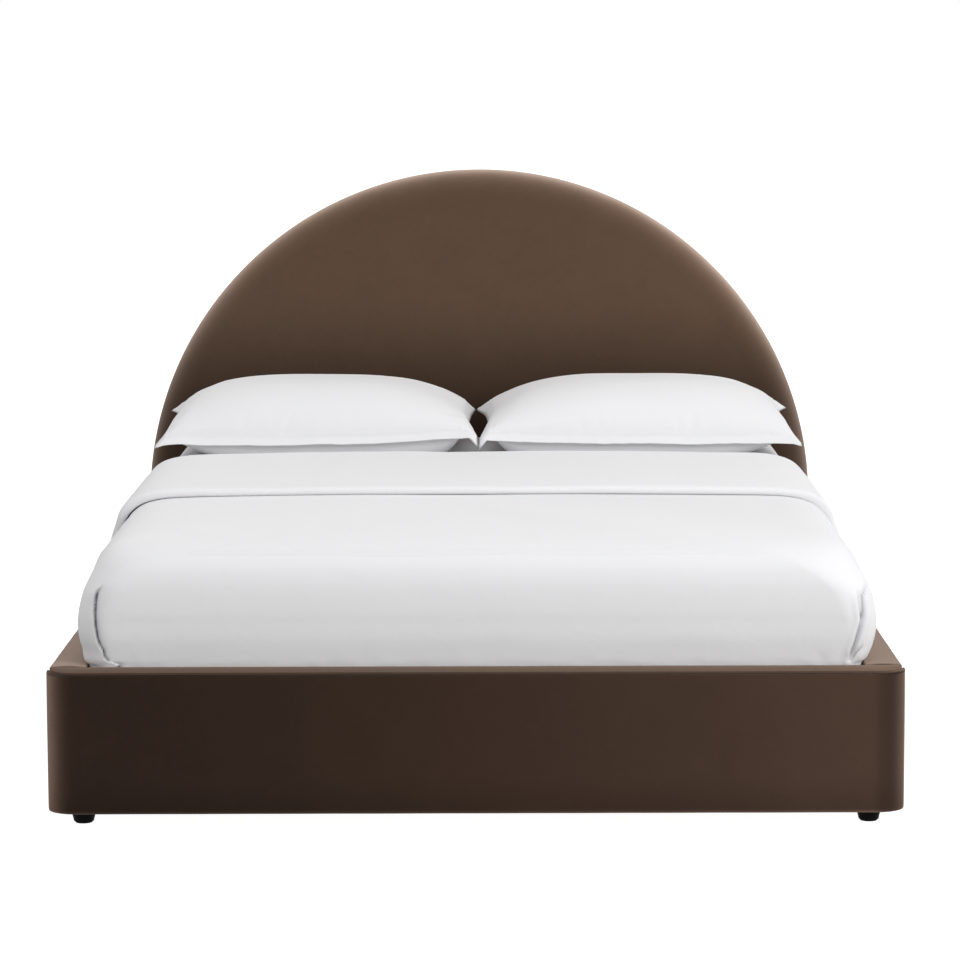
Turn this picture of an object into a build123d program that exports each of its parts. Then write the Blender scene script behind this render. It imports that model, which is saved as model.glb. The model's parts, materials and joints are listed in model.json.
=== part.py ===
from build123d import *
import math
import os

# Storage platform bed: an upholstered box with a half-round headboard. The mattress platform
# inside the box lifts at its foot end on two four-bar linkages with gas springs.
# Millimetres, +Z up, +Y towards the head, origin on the floor under the middle of the bed.

# Whole bed
mattress_width = 1524
mattress_length = 2032
mattress_height = 300
mattress_sink = 74
side_gap = 18
foot_gap = 20
head_gap = 18
rail_thickness = 80
panel_height = 280
strip_height = 6
foot_height = 28
headboard_thickness = 90
headboard_rise = 924

# Upholstery
pad_thickness = 10
lining_thickness = 2
panel_corner_radius = 60
panel_hem_radius = 6
strip_edge_radius = 5
face_pad = 30
rim_pad = 25
rim_radius = 28
back_edge_radius = 8
back_cloth = 2
back_cloth_inset = 14

# Timber of the box and headboard
board_thickness = 12
batten_height = 22
block_length = 44
block_spacing = 600
ply_thickness = 9
rim_width = 46
stud_width = 46
stud_spacing = 420
ledger_width = 25
floor_thickness = 6
floor_gap = 1
beam_width = 60
end_board_thickness = 18
ledge_size = 40
ledge_side_gap = 60

# Feet
foot_top_radius = 25
foot_tip_radius = 20
foot_inset = 72
foot_collar = 5
glide_radius = 17
glide_height = 3
centre_foot_spacing = 690

# Corner brackets and their bolts
angle_leg = 46
angle_thickness = 3
angle_height = 110
angle_above_floor = 12
angle_bolt_pitch = 60
bolt_radius = 4
bolt_head_radius = 8
bolt_head_height = 4
bolt_grip = 12
bolt_play = 0.2

# Rests that the platform lies on
rest_gap = 0.3
buffer_height = 5
buffer_radius = 9
buffer_spacing = 500
rest_width = 40
rest_drop = 60
rest_thickness = 3
rest_bolt_drop = 39
rest_from_foot = 480
rest_from_head = 222
rest_overlap = 24

# Platform frame and slats
tube_size = 30
tube_wall = 2
tube_below_mattress = 10
tube_inset = 34
frame_foot_inset = 2
frame_head_inset = 7
cross_height = 14
cross_spacing = 680
slat_count = 14
slat_width = 60
slat_thickness = 8
slat_rise = 12
slat_end_gap = 3
holder_length = 26
holder_wall = 3
holder_play = 0.4
strap_length = 260
strap_width = 30
strap_thickness = 2.5
strap_tab = 45

# Linkage, seen from the side: y and z places from the arm's pivot on the base plate
arm_pivot_from_head = 1030
arm_pivot_above_floor = 18
arm_length = 405
arm_angle = 9.5
link_pivot_y = 258
link_pivot_z = 100
link_length = 277.5
link_angle = 7.05
spring_foot_y = 308
spring_foot_z = 1
lug_y = 48.5
lug_z = 131
arm_thickness = 5
arm_end_radius = 16
arm_waist_radius = 13
arm_lug_radius = 12
arm_corner_radius = 30
arm_slot_length = 150
arm_slot_radius = 5
arm_slot_share = 0.56
crotch_share = 0.25
link_thickness = 5
link_end_radius = 14
link_bead_width = 8
link_bead_depth = 1
plate_thickness = 3
plate_margin = 14
plate_bolt_inset = 14
plate_top_y = 40
bracket_thickness = 4
bracket_end_radius = 18
bracket_reach = 60
layer_gap = 4
pin_radius = 6
small_pin_radius = 5
pin_shoulder_radius = 10
pin_head_radius = 10
pin_head_height = 4
running_play = 0.05
face_play = 0.3
bush_wall = 2
bush_flange_radius = 12
bush_flange = 3
open_pivot_play = 4.2
washer_radius = 13
washer_thickness = 3

# Gas springs
cylinder_radius = 11
cylinder_wall = 2
cylinder_length = 208
cylinder_start = 16
rod_radius = 5
rod_engagement = 158
guide_length = 8
piston_length = 12
eye_radius = 9
eye_thickness = 10
stud_radius = 4
fitting_radius = 7
fitting_length = 22
spring_offset = 25

# Bedding
mattress_corner_radius = 80
mattress_top_radius = 60
mattress_base_radius = 25
sheet_gap = 0.3
sheet_thickness = 1.2
duvet_fill = 13
duvet_tuck_gap = 3
duvet_tuck_depth = 62
duvet_over_rail = 8
duvet_bulge = 24
duvet_shoulder = 64
duvet_crown = 8
duvet_foot_gap = 5
duvet_foot_run = 600
duvet_foot_draw = 65
duvet_foot_drop = 62
duvet_from_head = 562
duvet_head_roll = 16
duvet_least_swell = 8
cuff_length = 700
cuff_thickness = 22
cuff_side_thickness = 5
cuff_side_drop = 150
pillow_width = 786
pillow_depth = 450
pillow_middle_gap = 8
pillow_from_head = 62
pillow_foot_rise = 48
pillow_head_rise = 80
pillow_crown = 129
pillow_flange = 36
pillow_edge = 6
pillow_seat_gap = 0.8
pillow_draw_in = 22

# One overrun serves every cut that has to pass right through
overrun = 5

# Places worked out from the sizes above
half_width = mattress_width / 2 + side_gap + rail_thickness
rail_inner = half_width - rail_thickness
bed_length = rail_thickness + foot_gap + mattress_length + head_gap + headboard_thickness
foot_face = -bed_length / 2
foot_inner = foot_face + rail_thickness
head_back = bed_length / 2
head_face = head_back - headboard_thickness
mattress_foot = foot_inner + foot_gap
mattress_head = mattress_foot + mattress_length
mattress_middle = (mattress_foot + mattress_head) / 2
rail_length = head_face - foot_inner
rail_middle = (head_face + foot_inner) / 2
seam_z = foot_height + panel_height
box_top = seam_z + strip_height
headboard_top = box_top + headboard_rise
arch_z = headboard_top - half_width
mattress_z = box_top - mattress_sink
mattress_top = mattress_z + mattress_height
ledger_top = foot_height + batten_height
floor_top = ledger_top + floor_thickness
end_board_face = head_face - end_board_thickness
tube_top = mattress_z - tube_below_mattress
tube_bottom = tube_top - tube_size
ledge_top = tube_bottom - rest_gap - buffer_height
rest_places = (foot_inner + rest_from_foot, end_board_face - rest_from_head)
frame_half = mattress_width / 2 - tube_inset
frame_foot = mattress_foot + frame_foot_inset
frame_head = mattress_head - frame_head_inset
frame_inner_foot = frame_foot + tube_size
frame_inner_head = frame_head - tube_size
arm_y = head_face - arm_pivot_from_head
arm_z = floor_top + arm_pivot_above_floor
sheet_top = mattress_top + sheet_gap + sheet_thickness
duvet_head = mattress_head - duvet_from_head
cuff_foot = duvet_head - cuff_length
pillow_head = mattress_head - pillow_from_head
pillow_foot = pillow_head - pillow_depth


def polar(length, angle):
    return (length * math.cos(math.radians(angle)), length * math.sin(math.radians(angle)))


arm_reach = polar(arm_length, arm_angle)
link_reach = polar(link_length, link_angle)
arm_pivot = (arm_y, arm_z)
platform_pivot = (arm_y + arm_reach[0], arm_z + arm_reach[1])
link_pivot = (arm_y + link_pivot_y, arm_z + link_pivot_z)
link_end = (link_pivot[0] + link_reach[0], link_pivot[1] + link_reach[1])
spring_foot = (arm_y + spring_foot_y, arm_z + spring_foot_z)
lug = (arm_y + lug_y, arm_z + lug_z)

# Layers of the linkage across the bed, from the platform frame out to the side rail
bracket_outer = frame_half + bracket_thickness
arm_inner = bracket_outer + layer_gap
arm_outer = arm_inner + arm_thickness
plate_inner = rail_inner - plate_thickness
link_outer = plate_inner - layer_gap
link_inner = link_outer - link_thickness
spring_x = frame_half + spring_offset + layer_gap
eye_inner = spring_x - eye_thickness / 2
eye_outer = spring_x + eye_thickness / 2


# Shared helpers


def block(x_range, y_range, z_range):
    size = [high - low for low, high in (x_range, y_range, z_range)]
    middle = [(low + high) / 2 for low, high in (x_range, y_range, z_range)]
    return Pos(*middle) * Box(*size)


def side_plate(outline, x_low, x_high):
    # A plate drawn in the side view, as y and z, and raised across the bed
    return extrude(Plane.YZ.offset(x_low) * outline, amount=x_high - x_low)


def front_plate(outline, y_low, y_high):
    # A plate drawn in the front view, as x and z, and raised along the bed
    return extrude(Plane.XZ.offset(-y_high) * outline, amount=y_high - y_low)


def cross_rod(place, x_low, x_high, radius):
    return side_plate(Pos(*place) * Circle(radius), x_low, x_high)


def cross_hole(place, x_low, x_high, radius):
    return cross_rod(place, x_low - overrun, x_high + overrun, radius)


def tapered_bar(start, end, start_radius, end_radius):
    ends = Pos(*start) * Circle(start_radius) + Pos(*end) * Circle(end_radius)
    return make_hull(ends.edges())


def between(start, end, share):
    return tuple(low + (high - low) * share for low, high in zip(start, end))


def other_side(shape):
    return mirror(shape, about=Plane.YZ)


def save(name, *shapes):
    solids = [solid for shape in shapes for solid in shape.solids()]
    whole = solids[0] if len(solids) == 1 else Compound(children=solids)
    export_step(whole, "parts/" + name + ".step")


# Fasteners: one list of places serves the bolts and the holes that they pass through


def rail_bolt_places():
    # y and z of every bolt that goes outwards into a side rail
    places = list(plate_bolt_places())
    middle = floor_top + angle_above_floor + angle_height / 2
    for y in (foot_inner + angle_leg / 2 + angle_thickness, end_board_face - angle_leg / 2 - angle_thickness):
        for side in (-1, 1):
            places.append((y, middle + side * angle_bolt_pitch / 2))
    for y in rest_places:
        places.append((y, ledge_top - rest_bolt_drop))
    return places


def plate_bolt_places():
    # y and z of the bolts that hold a base plate, inside its corners
    top = (arm_pivot[0] + plate_top_y, link_pivot[1])
    low_middle = between(arm_pivot, spring_foot, 0.5)
    past_spring = (spring_foot[0] + plate_bolt_inset * 2, spring_foot[1])
    past_link = (link_pivot[0] + plate_bolt_inset * 2, link_pivot[1])
    return (top, low_middle, past_spring, past_link)


def end_bolt_places():
    # x and z of the bolts that go lengthwise into the foot panel and the head end board
    middle = floor_top + angle_above_floor + angle_height / 2
    x = rail_inner - angle_leg / 2 - angle_thickness
    return [(x, middle + side * angle_bolt_pitch / 2) for side in (-1, 1)]


def rail_bolt_holes():
    holes = Part()
    for place in rail_bolt_places():
        holes += cross_rod(place, plate_inner - overrun, rail_inner + bolt_grip, bolt_radius + bolt_play)
    return holes


def end_bolt_holes(y_low, y_high):
    holes = Part()
    for x, z in end_bolt_places():
        for side in (-1, 1):
            spot = Pos(side * x, z) * Circle(bolt_radius + bolt_play)
            holes += front_plate(spot, y_low, y_high)
    return holes


def cross_bolt(place, face, plate, direction):
    # A bolt whose head stands on a plate's face and whose shank runs through it into the timber
    head_end = face - direction * bolt_head_height
    tip = face + direction * (plate + bolt_grip - bolt_play)
    head = cross_rod(place, min(face, head_end), max(face, head_end), bolt_head_radius)
    shank = cross_rod(place, min(face, tip), max(face, tip), bolt_radius)
    return head + shank


def rail_bolts():
    bolts = [cross_bolt(place, plate_inner, plate_thickness, 1) for place in rail_bolt_places()]
    return bolts + [other_side(bolt) for bolt in bolts]


def end_bolts():
    bolts = []
    for x, z in end_bolt_places():
        for side in (-1, 1):
            spot = Pos(side * x, z)
            face = foot_inner + angle_thickness
            tip = foot_inner - bolt_grip + bolt_play
            bolts.append(
                front_plate(spot * Circle(bolt_head_radius), face, face + bolt_head_height)
                + front_plate(spot * Circle(bolt_radius), tip, face)
            )
            face = end_board_face - angle_thickness
            tip = end_board_face + bolt_grip - bolt_play
            bolts.append(
                front_plate(spot * Circle(bolt_head_radius), face - bolt_head_height, face)
                + front_plate(spot * Circle(bolt_radius), face, tip)
            )
    return bolts


# Foot panel


def foot_plan(skin, back_skin):
    # Plan of the foot panel with its two rounded front corners, drawn in by the given skins
    depth = rail_thickness - skin - back_skin
    middle = (foot_face + skin + foot_inner - back_skin) / 2
    plan = Pos(0, middle) * Rectangle(2 * (half_width - skin), depth)
    front = plan.vertices().sort_by(Axis.Y)[:2]
    return fillet(front, panel_corner_radius - skin)


def foot_panel_cover():
    shell = Pos(0, 0, foot_height) * extrude(foot_plan(0, 0), amount=panel_height)
    shell = fillet(shell.faces().sort_by(Axis.Z)[0].edges(), panel_hem_radius)
    core = extrude(foot_plan(pad_thickness, lining_thickness), amount=panel_height)
    cover = shell - Pos(0, 0, foot_height + lining_thickness) * core
    return cover - end_bolt_holes(foot_inner - bolt_grip, foot_inner + overrun)


def foot_panel_frame():
    skin = pad_thickness
    back = lining_thickness
    bottom = foot_height + lining_thickness
    outer = foot_plan(skin, back)
    inner = foot_plan(skin + board_thickness, back + board_thickness)
    wall_height = seam_z - bottom - 2 * batten_height
    walls = Pos(0, 0, bottom + batten_height) * extrude(outer - inner, amount=wall_height)
    walls -= end_bolt_holes(foot_inner - bolt_grip, foot_inner + overrun)
    sole = Pos(0, 0, bottom) * extrude(outer, amount=batten_height)
    cap = Pos(0, 0, seam_z - batten_height) * extrude(outer, amount=batten_height)
    pieces = [walls, sole, cap]
    y_range = (foot_face + skin + board_thickness, foot_inner - back - board_thickness)
    for step in (-1, 0, 1):
        x = step * block_spacing
        x_range = (x - block_length / 2, x + block_length / 2)
        pieces.append(block(x_range, y_range, (bottom + batten_height, seam_z - batten_height)))
    return pieces


def foot_panel_strip():
    strip = Pos(0, 0, seam_z) * extrude(foot_plan(0, 0), amount=strip_height)
    return fillet(strip.faces().sort_by(Axis.Z)[-1].edges(), strip_edge_radius)


# Side rails, made for the +X side and mirrored


def rail_cover():
    profile = Pos((rail_inner + half_width) / 2, foot_height + panel_height / 2) * Rectangle(
        rail_thickness, panel_height
    )
    hem = profile.vertices().sort_by(Axis.Y)[:2]
    profile = fillet(hem, panel_hem_radius)
    core_width = rail_thickness - pad_thickness - lining_thickness
    core_x = rail_inner + lining_thickness + core_width / 2
    core_z = (foot_height + lining_thickness + seam_z) / 2
    core = Pos(core_x, core_z) * Rectangle(core_width, seam_z - foot_height - lining_thickness)
    return front_plate(profile - core, foot_inner, head_face) - rail_bolt_holes()


def rail_frame():
    inner = rail_inner + lining_thickness
    outer = half_width - pad_thickness
    bottom = foot_height + lining_thickness
    along = (foot_inner, head_face)
    inner_board = block((inner, inner + board_thickness), along, (bottom, seam_z)) - rail_bolt_holes()
    outer_board = block((outer - board_thickness, outer), along, (bottom, seam_z))
    between_boards = (inner + board_thickness, outer - board_thickness)
    top_batten = block(between_boards, along, (seam_z - batten_height, seam_z))
    low_batten = block(between_boards, along, (bottom, bottom + batten_height))
    pieces = [inner_board, outer_board, top_batten, low_batten]
    upright = (bottom + batten_height, seam_z - batten_height)
    count = int(rail_length // block_spacing) + 1
    span = rail_length - block_length
    for index in range(count):
        start = foot_inner + span * index / (count - 1)
        pieces.append(block(between_boards, (start, start + block_length), upright))
    return pieces


def rail_strip():
    profile = Pos((rail_inner + half_width) / 2, seam_z + strip_height / 2) * Rectangle(
        rail_thickness, strip_height
    )
    crown = profile.vertices().sort_by(Axis.Y)[-2:]
    return front_plate(fillet(crown, strip_edge_radius), foot_inner, head_face)


# Headboard


def arch(inset, foot_z):
    # Half circle on a straight-sided base, drawn in by the inset
    radius = half_width - inset
    rise = Line((-radius, foot_z), (-radius, arch_z))
    crown = ThreePointArc((-radius, arch_z), (0, arch_z + radius), (radius, arch_z))
    fall = Line((radius, arch_z), (radius, foot_z))
    return make_face(rise + crown + fall + Line((radius, foot_z), (-radius, foot_z)))


def headboard_padding():
    pad = front_plate(arch(0, foot_height), head_face, head_back)
    front_rim = [edge for edge in pad.faces().sort_by(Axis.Y)[0].edges() if edge.center().Z > foot_height]
    pad = fillet(front_rim, rim_radius)
    back_rim = [edge for edge in pad.faces().sort_by(Axis.Y)[-1].edges() if edge.center().Z > foot_height]
    pad = fillet(back_rim, back_edge_radius)
    return pad - front_plate(arch(rim_pad, foot_height - overrun), head_face + face_pad, head_back + overrun)


def headboard_board():
    start = head_face + face_pad
    return front_plate(arch(rim_pad, foot_height), start, start + ply_thickness)


def headboard_frame():
    low = head_face + face_pad + ply_thickness
    high = head_back - back_cloth
    inside = arch(rim_pad + rim_width, foot_height + rim_width)
    rim = front_plate(arch(rim_pad, foot_height) - inside, low, high)
    pieces = [rim]
    studs = Part()
    for step in (-1, 0, 1):
        x = step * stud_spacing
        studs += block((x - stud_width / 2, x + stud_width / 2), (low, high), (foot_height, headboard_top))
    cavity = front_plate(inside, low, high)
    studs = studs & cavity
    rail_z = (box_top, box_top + stud_width)
    cross = block((-half_width, half_width), (low, high), rail_z) & cavity
    return pieces + [studs, cross - studs]


def headboard_back():
    return front_plate(arch(back_cloth_inset, foot_height), head_back - back_cloth, head_back) & front_plate(
        arch(rim_pad, foot_height), head_back - back_cloth, head_back
    )


# Floor of the storage bay and what carries it


def ledgers():
    z_range = (foot_height, ledger_top)
    inner = rail_inner - ledger_width
    pieces = []
    for side in (-1, 1):
        x_range = sorted((side * inner, side * rail_inner))
        pieces.append(block(x_range, (foot_inner, end_board_face), z_range))
        x_range = sorted((side * beam_width / 2, side * inner))
        pieces.append(block(x_range, (foot_inner, foot_inner + ledger_width), z_range))
        pieces.append(block(x_range, (end_board_face - ledger_width, end_board_face), z_range))
    return pieces


def centre_beam():
    edge = (-beam_width / 2, beam_width / 2)
    return block(edge, (foot_inner, end_board_face), (foot_height, ledger_top))


def floor_panel():
    x_range = (floor_gap, rail_inner - floor_gap)
    return block(x_range, (foot_inner + floor_gap, end_board_face - floor_gap), (ledger_top, floor_top))


def head_end_board():
    board = block((-rail_inner, rail_inner), (end_board_face, head_face), (foot_height, ledge_top))
    return board - end_bolt_holes(end_board_face - overrun, end_board_face + bolt_grip)


def platform_ledge(y_low):
    x_end = rail_inner - ledge_side_gap
    ledge = block((-x_end, x_end), (y_low, y_low + ledge_size), (ledge_top - ledge_size, ledge_top))
    return chamfer(ledge.edges().filter_by(Axis.X).group_by(Axis.Z)[0], ledge_size / 10)


def side_rest(y):
    # Steel angle with a web under its shelf, bolted to the side rail
    shelf_inner = frame_half - rest_overlap
    half = rest_width / 2
    leg = block((plate_inner, rail_inner), (y - half, y + half), (ledge_top - rest_drop, ledge_top))
    shelf = block((shelf_inner, plate_inner), (y - half, y + half), (ledge_top - rest_thickness, ledge_top))
    web = Polyline(
        (plate_inner, ledge_top - rest_thickness),
        (shelf_inner, ledge_top - rest_thickness),
        (plate_inner, ledge_top - rest_drop),
        close=True,
    )
    web = front_plate(make_face(web), y + half - rest_thickness, y + half)
    place = (y, ledge_top - rest_bolt_drop)
    return leg + shelf + web - cross_hole(place, plate_inner, rail_inner, bolt_radius + bolt_play)


def buffers():
    low = ledge_top
    pieces = []
    places = []
    for y in (frame_foot + tube_size / 2, frame_head - tube_size / 2):
        places += [(step * buffer_spacing, y) for step in (-1, 0, 1)]
    for y in rest_places:
        places += [(side * (frame_half - tube_size / 2), y) for side in (-1, 1)]
    for x, y in places:
        pieces.append(Pos(x, y, low + buffer_height / 2) * Cylinder(buffer_radius, buffer_height))
    return pieces


# Feet


def foot(x, y):
    profile = Polyline(
        (0, glide_height),
        (foot_tip_radius, glide_height),
        (foot_top_radius, foot_height - foot_collar),
        (foot_top_radius, foot_height),
        (0, foot_height),
        close=True,
    )
    return Pos(x, y, 0) * revolve(Plane.XZ * make_face(profile), axis=Axis.Z)


def glide(x, y):
    return Pos(x, y, glide_height / 2) * Cylinder(glide_radius, glide_height)


def corner_places():
    x = half_width - foot_inset
    y = bed_length / 2 - foot_inset
    return [(side * x, end * y) for side in (-1, 1) for end in (-1, 1)]


def centre_places():
    return [(0, rail_middle + step * centre_foot_spacing) for step in (-1, 0, 1)]


# Corner brackets


def corner_bracket(inner_y, direction):
    # Steel angle in an inner corner of the box, direction +1 at the foot and -1 at the head
    low = floor_top + angle_above_floor
    z_range = (low, low + angle_height)
    far = inner_y + direction * (angle_leg + angle_thickness)
    near = inner_y + direction * angle_thickness
    rail_leg = block((rail_inner - angle_thickness, rail_inner), sorted((inner_y, far)), z_range)
    x_low = rail_inner - angle_leg - angle_thickness
    end_leg = block((x_low, rail_inner), sorted((inner_y, near)), z_range)
    angle = rail_leg + end_leg - rail_bolt_holes()
    return angle - end_bolt_holes(min(inner_y, near) - overrun, max(inner_y, near) + overrun)


# Linkage, made for the +X side and mirrored


def base_plate():
    corners = (arm_pivot, spring_foot, *plate_bolt_places())
    discs = Sketch()
    for place in corners:
        discs += Pos(*place) * Circle(plate_margin)
    plate = side_plate(make_hull(discs.edges()), plate_inner, rail_inner)
    for place in plate_bolt_places():
        plate -= cross_hole(place, plate_inner, rail_inner, bolt_radius + bolt_play)
    return plate


def arm_pin():
    shoulder = cross_rod(arm_pivot, arm_outer + bush_flange + face_play, plate_inner, pin_shoulder_radius)
    shaft = cross_rod(arm_pivot, arm_inner - face_play, arm_outer + bush_flange + face_play, pin_radius)
    head_start = arm_inner - face_play
    head = cross_rod(arm_pivot, head_start - pin_head_height, head_start, pin_head_radius)
    return shoulder + shaft + head


def link_pin():
    shoulder = cross_rod(link_pivot, link_outer + face_play, plate_inner, pin_shoulder_radius)
    shaft = cross_rod(link_pivot, link_inner - face_play, link_outer + face_play, small_pin_radius)
    head_start = link_inner - face_play
    head = cross_rod(link_pivot, head_start - pin_head_height, head_start, pin_head_radius)
    return shoulder + shaft + head


def spring_pin():
    shoulder = cross_rod(spring_foot, eye_outer + face_play, plate_inner, fitting_radius)
    shaft = cross_rod(spring_foot, eye_inner - face_play, eye_outer + face_play, stud_radius)
    head_start = eye_inner - face_play
    head = cross_rod(spring_foot, head_start - pin_head_height / 2, head_start, fitting_radius)
    return shoulder + shaft + head


def long_arm():
    # Pressed lever: a tapered arm to the platform with a lug that the gas spring pushes
    waist = between(arm_pivot, platform_pivot, 0.5)
    outline = tapered_bar(arm_pivot, waist, arm_end_radius, arm_waist_radius)
    outline += tapered_bar(waist, platform_pivot, arm_waist_radius, arm_end_radius)
    outline += tapered_bar(arm_pivot, lug, arm_end_radius, arm_lug_radius)
    crotch_place = between(arm_pivot, between(lug, waist, 0.5), crotch_share)
    crotch = outline.vertices().sort_by_distance(crotch_place + (0,))[0]
    outline = fillet(crotch, arm_corner_radius)
    slot = Rot(0, 0, arm_angle) * SlotCenterToCenter(arm_slot_length, 2 * arm_slot_radius)
    outline -= Pos(*between(arm_pivot, platform_pivot, arm_slot_share)) * slot
    outline -= Pos(*between(arm_pivot, lug, 0.5)) * Circle(arm_slot_radius)
    plate = side_plate(outline, arm_inner, arm_outer)
    for place in (arm_pivot, platform_pivot):
        plate -= cross_hole(place, arm_inner, arm_outer, pin_radius + bush_wall + running_play)
    return plate


def arm_bushes():
    pieces = []
    flanges = (
        (arm_pivot, arm_outer, arm_outer + bush_flange),
        (platform_pivot, arm_inner - bush_flange, arm_inner),
    )
    for place, low, high in flanges:
        barrel = cross_rod(place, arm_inner, arm_outer, pin_radius + bush_wall)
        flange = cross_rod(place, low, high, bush_flange_radius)
        bore = cross_hole(place, min(low, arm_inner), max(high, arm_outer), pin_radius + running_play)
        pieces.append(barrel + flange - bore)
    return pieces


def short_link():
    # Flat bar with a pressed bead; its platform end has the wide hole of the open pivot
    bar = side_plate(
        tapered_bar(link_pivot, link_end, link_end_radius, link_end_radius), link_inner, link_outer
    )
    bead = Rot(0, 0, link_angle) * SlotCenterToCenter(link_length / 2, link_bead_width)
    bead = Pos(*between(link_pivot, link_end, 0.5)) * bead
    bar -= side_plate(bead, link_inner, link_inner + link_bead_depth)
    bar -= cross_hole(link_pivot, link_inner, link_outer, small_pin_radius + running_play)
    return bar - cross_hole(link_end, link_inner, link_outer, small_pin_radius + open_pivot_play)


def platform_bracket():
    bolt_z = (tube_bottom + tube_top) / 2
    low_y = platform_pivot[0] - bracket_reach
    high_y = link_end[0] + bracket_reach
    corner = tube_size / 2
    discs = Pos(*platform_pivot) * Circle(bracket_end_radius)
    discs += Pos(low_y, bolt_z) * Circle(corner)
    discs += Pos(high_y, bolt_z) * Circle(corner)
    plate = side_plate(make_hull(discs.edges()), frame_half, bracket_outer)
    plate -= cross_hole(platform_pivot, frame_half, bracket_outer, pin_radius + running_play)
    for place in bracket_bolt_places():
        plate -= cross_hole(place, frame_half, bracket_outer, bolt_radius + bolt_play)
    return plate


def bracket_bolt_places():
    bolt_z = (tube_bottom + tube_top) / 2
    low_y = platform_pivot[0] - bracket_reach
    high_y = link_end[0] + bracket_reach
    return [(low_y, bolt_z), ((low_y + high_y) / 2, bolt_z), (high_y, bolt_z)]


def bracket_bolts():
    bolts = []
    for place in bracket_bolt_places():
        head = cross_rod(place, bracket_outer, bracket_outer + bolt_head_height, bolt_head_radius)
        bolts.append(head + cross_rod(place, frame_half - tube_wall, bracket_outer, bolt_radius))
    return bolts + [other_side(bolt) for bolt in bolts]


def platform_pin():
    head_low = frame_half - pin_head_height
    head = cross_rod(platform_pivot, head_low, frame_half, pin_head_radius)
    shaft = cross_rod(platform_pivot, frame_half, arm_outer + face_play, pin_radius)
    nut_low = arm_outer + face_play
    nut = cross_rod(platform_pivot, nut_low, nut_low + pin_head_height, pin_head_radius)
    return head + shaft + nut


def link_end_stud():
    # Stud on the platform bracket that runs through the wide hole in the short link
    shoulder = cross_rod(link_end, bracket_outer, link_inner - face_play, pin_shoulder_radius)
    shaft = cross_rod(link_end, link_inner - face_play, link_outer + face_play, small_pin_radius)
    washer = cross_rod(link_end, link_outer + face_play, link_outer + washer_thickness, washer_radius)
    return shoulder + shaft + washer


# Gas springs, drawn along their own axis from the lower eye


def spring_plane():
    run = (lug[0] - spring_foot[0], lug[1] - spring_foot[1])
    return Plane(origin=(spring_x, *spring_foot), x_dir=(0, *run), z_dir=(1, 0, 0))


def spring_length():
    return math.dist(spring_foot, lug)


def turned(start, end, radius):
    # Round bar along the spring's own axis
    return Pos((start + end) / 2, 0, 0) * Rot(0, 90, 0) * Cylinder(radius, end - start)


def spring_eye(place, bore):
    eye = Pos(place, 0, 0) * Cylinder(eye_radius, eye_thickness)
    return eye - Pos(place, 0, 0) * Cylinder(bore, eye_thickness + 2 * overrun)


def gas_cylinder():
    end = cylinder_start + cylinder_length
    neck = turned(stud_radius + cylinder_wall, cylinder_start, fitting_radius - cylinder_wall)
    tube = turned(cylinder_start, end, cylinder_radius)
    tube = chamfer(tube.edges().filter_by(GeomType.CIRCLE), cylinder_wall / 2)
    bore = turned(cylinder_start + 2 * cylinder_wall, end - guide_length, cylinder_radius - cylinder_wall)
    guide = turned(end - guide_length, end + overrun, rod_radius + running_play)
    eye = spring_eye(0, stud_radius + running_play)
    lower = eye + neck - Cylinder(stud_radius + running_play, eye_thickness)
    return spring_plane() * (lower + tube - bore - guide)


def gas_rod():
    # The rod carries its upper eye and the stud that faces the arm's lug
    length = spring_length()
    end = cylinder_start + cylinder_length
    inner_end = end - rod_engagement
    fitting_start = length - eye_radius - fitting_length
    rod = turned(inner_end, fitting_start, rod_radius)
    piston = turned(inner_end, inner_end + piston_length, cylinder_radius - cylinder_wall - running_play)
    fitting = turned(fitting_start, length - stud_radius, fitting_radius)
    eye = Pos(length, 0, 0) * Cylinder(eye_radius, eye_thickness)
    stud_length = spring_x - arm_outer - face_play
    stud = Pos(length, 0, -stud_length / 2) * Cylinder(stud_radius, stud_length)
    head = Pos(length, 0, (eye_thickness + washer_thickness) / 2) * Cylinder(fitting_radius, washer_thickness)
    return spring_plane() * (rod + piston + fitting + eye + stud + head)


# Platform frame


def square_tube(length):
    outer = Rectangle(tube_size, tube_size)
    bore = Rectangle(tube_size - 2 * tube_wall, tube_size - 2 * tube_wall)
    return extrude(outer - bore, amount=length / 2, both=True)


def side_tube():
    tube = Pos(frame_half - tube_size / 2, (frame_foot + frame_head) / 2, tube_top - tube_size / 2)
    tube = tube * Rot(90, 0, 0) * square_tube(frame_head - frame_foot)
    for place in bracket_bolt_places():
        tube -= cross_rod(place, frame_half - tube_size / 2, frame_half + overrun, bolt_radius + bolt_play)
    return tube


def end_tubes():
    length = 2 * (frame_half - tube_size)
    z = tube_top - tube_size / 2
    tube = Rot(0, 90, 0) * square_tube(length)
    return [Pos(0, y, z) * tube for y in (frame_foot + tube_size / 2, frame_head - tube_size / 2)]


def centre_tube():
    length = frame_inner_head - frame_inner_foot
    middle = (frame_inner_head + frame_inner_foot) / 2
    return Pos(0, middle, tube_top - tube_size / 2) * Rot(90, 0, 0) * square_tube(length)


def cross_bars():
    # Channels under the slats, open downwards, from the centre tube to each side tube
    length = frame_half - tube_size - tube_size / 2
    profile = Rectangle(tube_size, cross_height)
    profile -= Pos(0, -tube_wall) * Rectangle(tube_size - 2 * tube_wall, cross_height)
    bar = Plane.YZ * profile
    pieces = []
    for side in (0, 1):
        start = tube_size / 2 - side * (length + tube_size)
        for step in (-1, 0, 1):
            spot = Pos(start, mattress_middle + step * cross_spacing, tube_bottom + cross_height / 2)
            pieces.append(spot * extrude(bar, amount=length))
    return pieces


def slat_places():
    pitch = (frame_inner_head - frame_inner_foot) / slat_count
    return [frame_inner_foot + pitch * (index + 0.5) for index in range(slat_count)]


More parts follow.
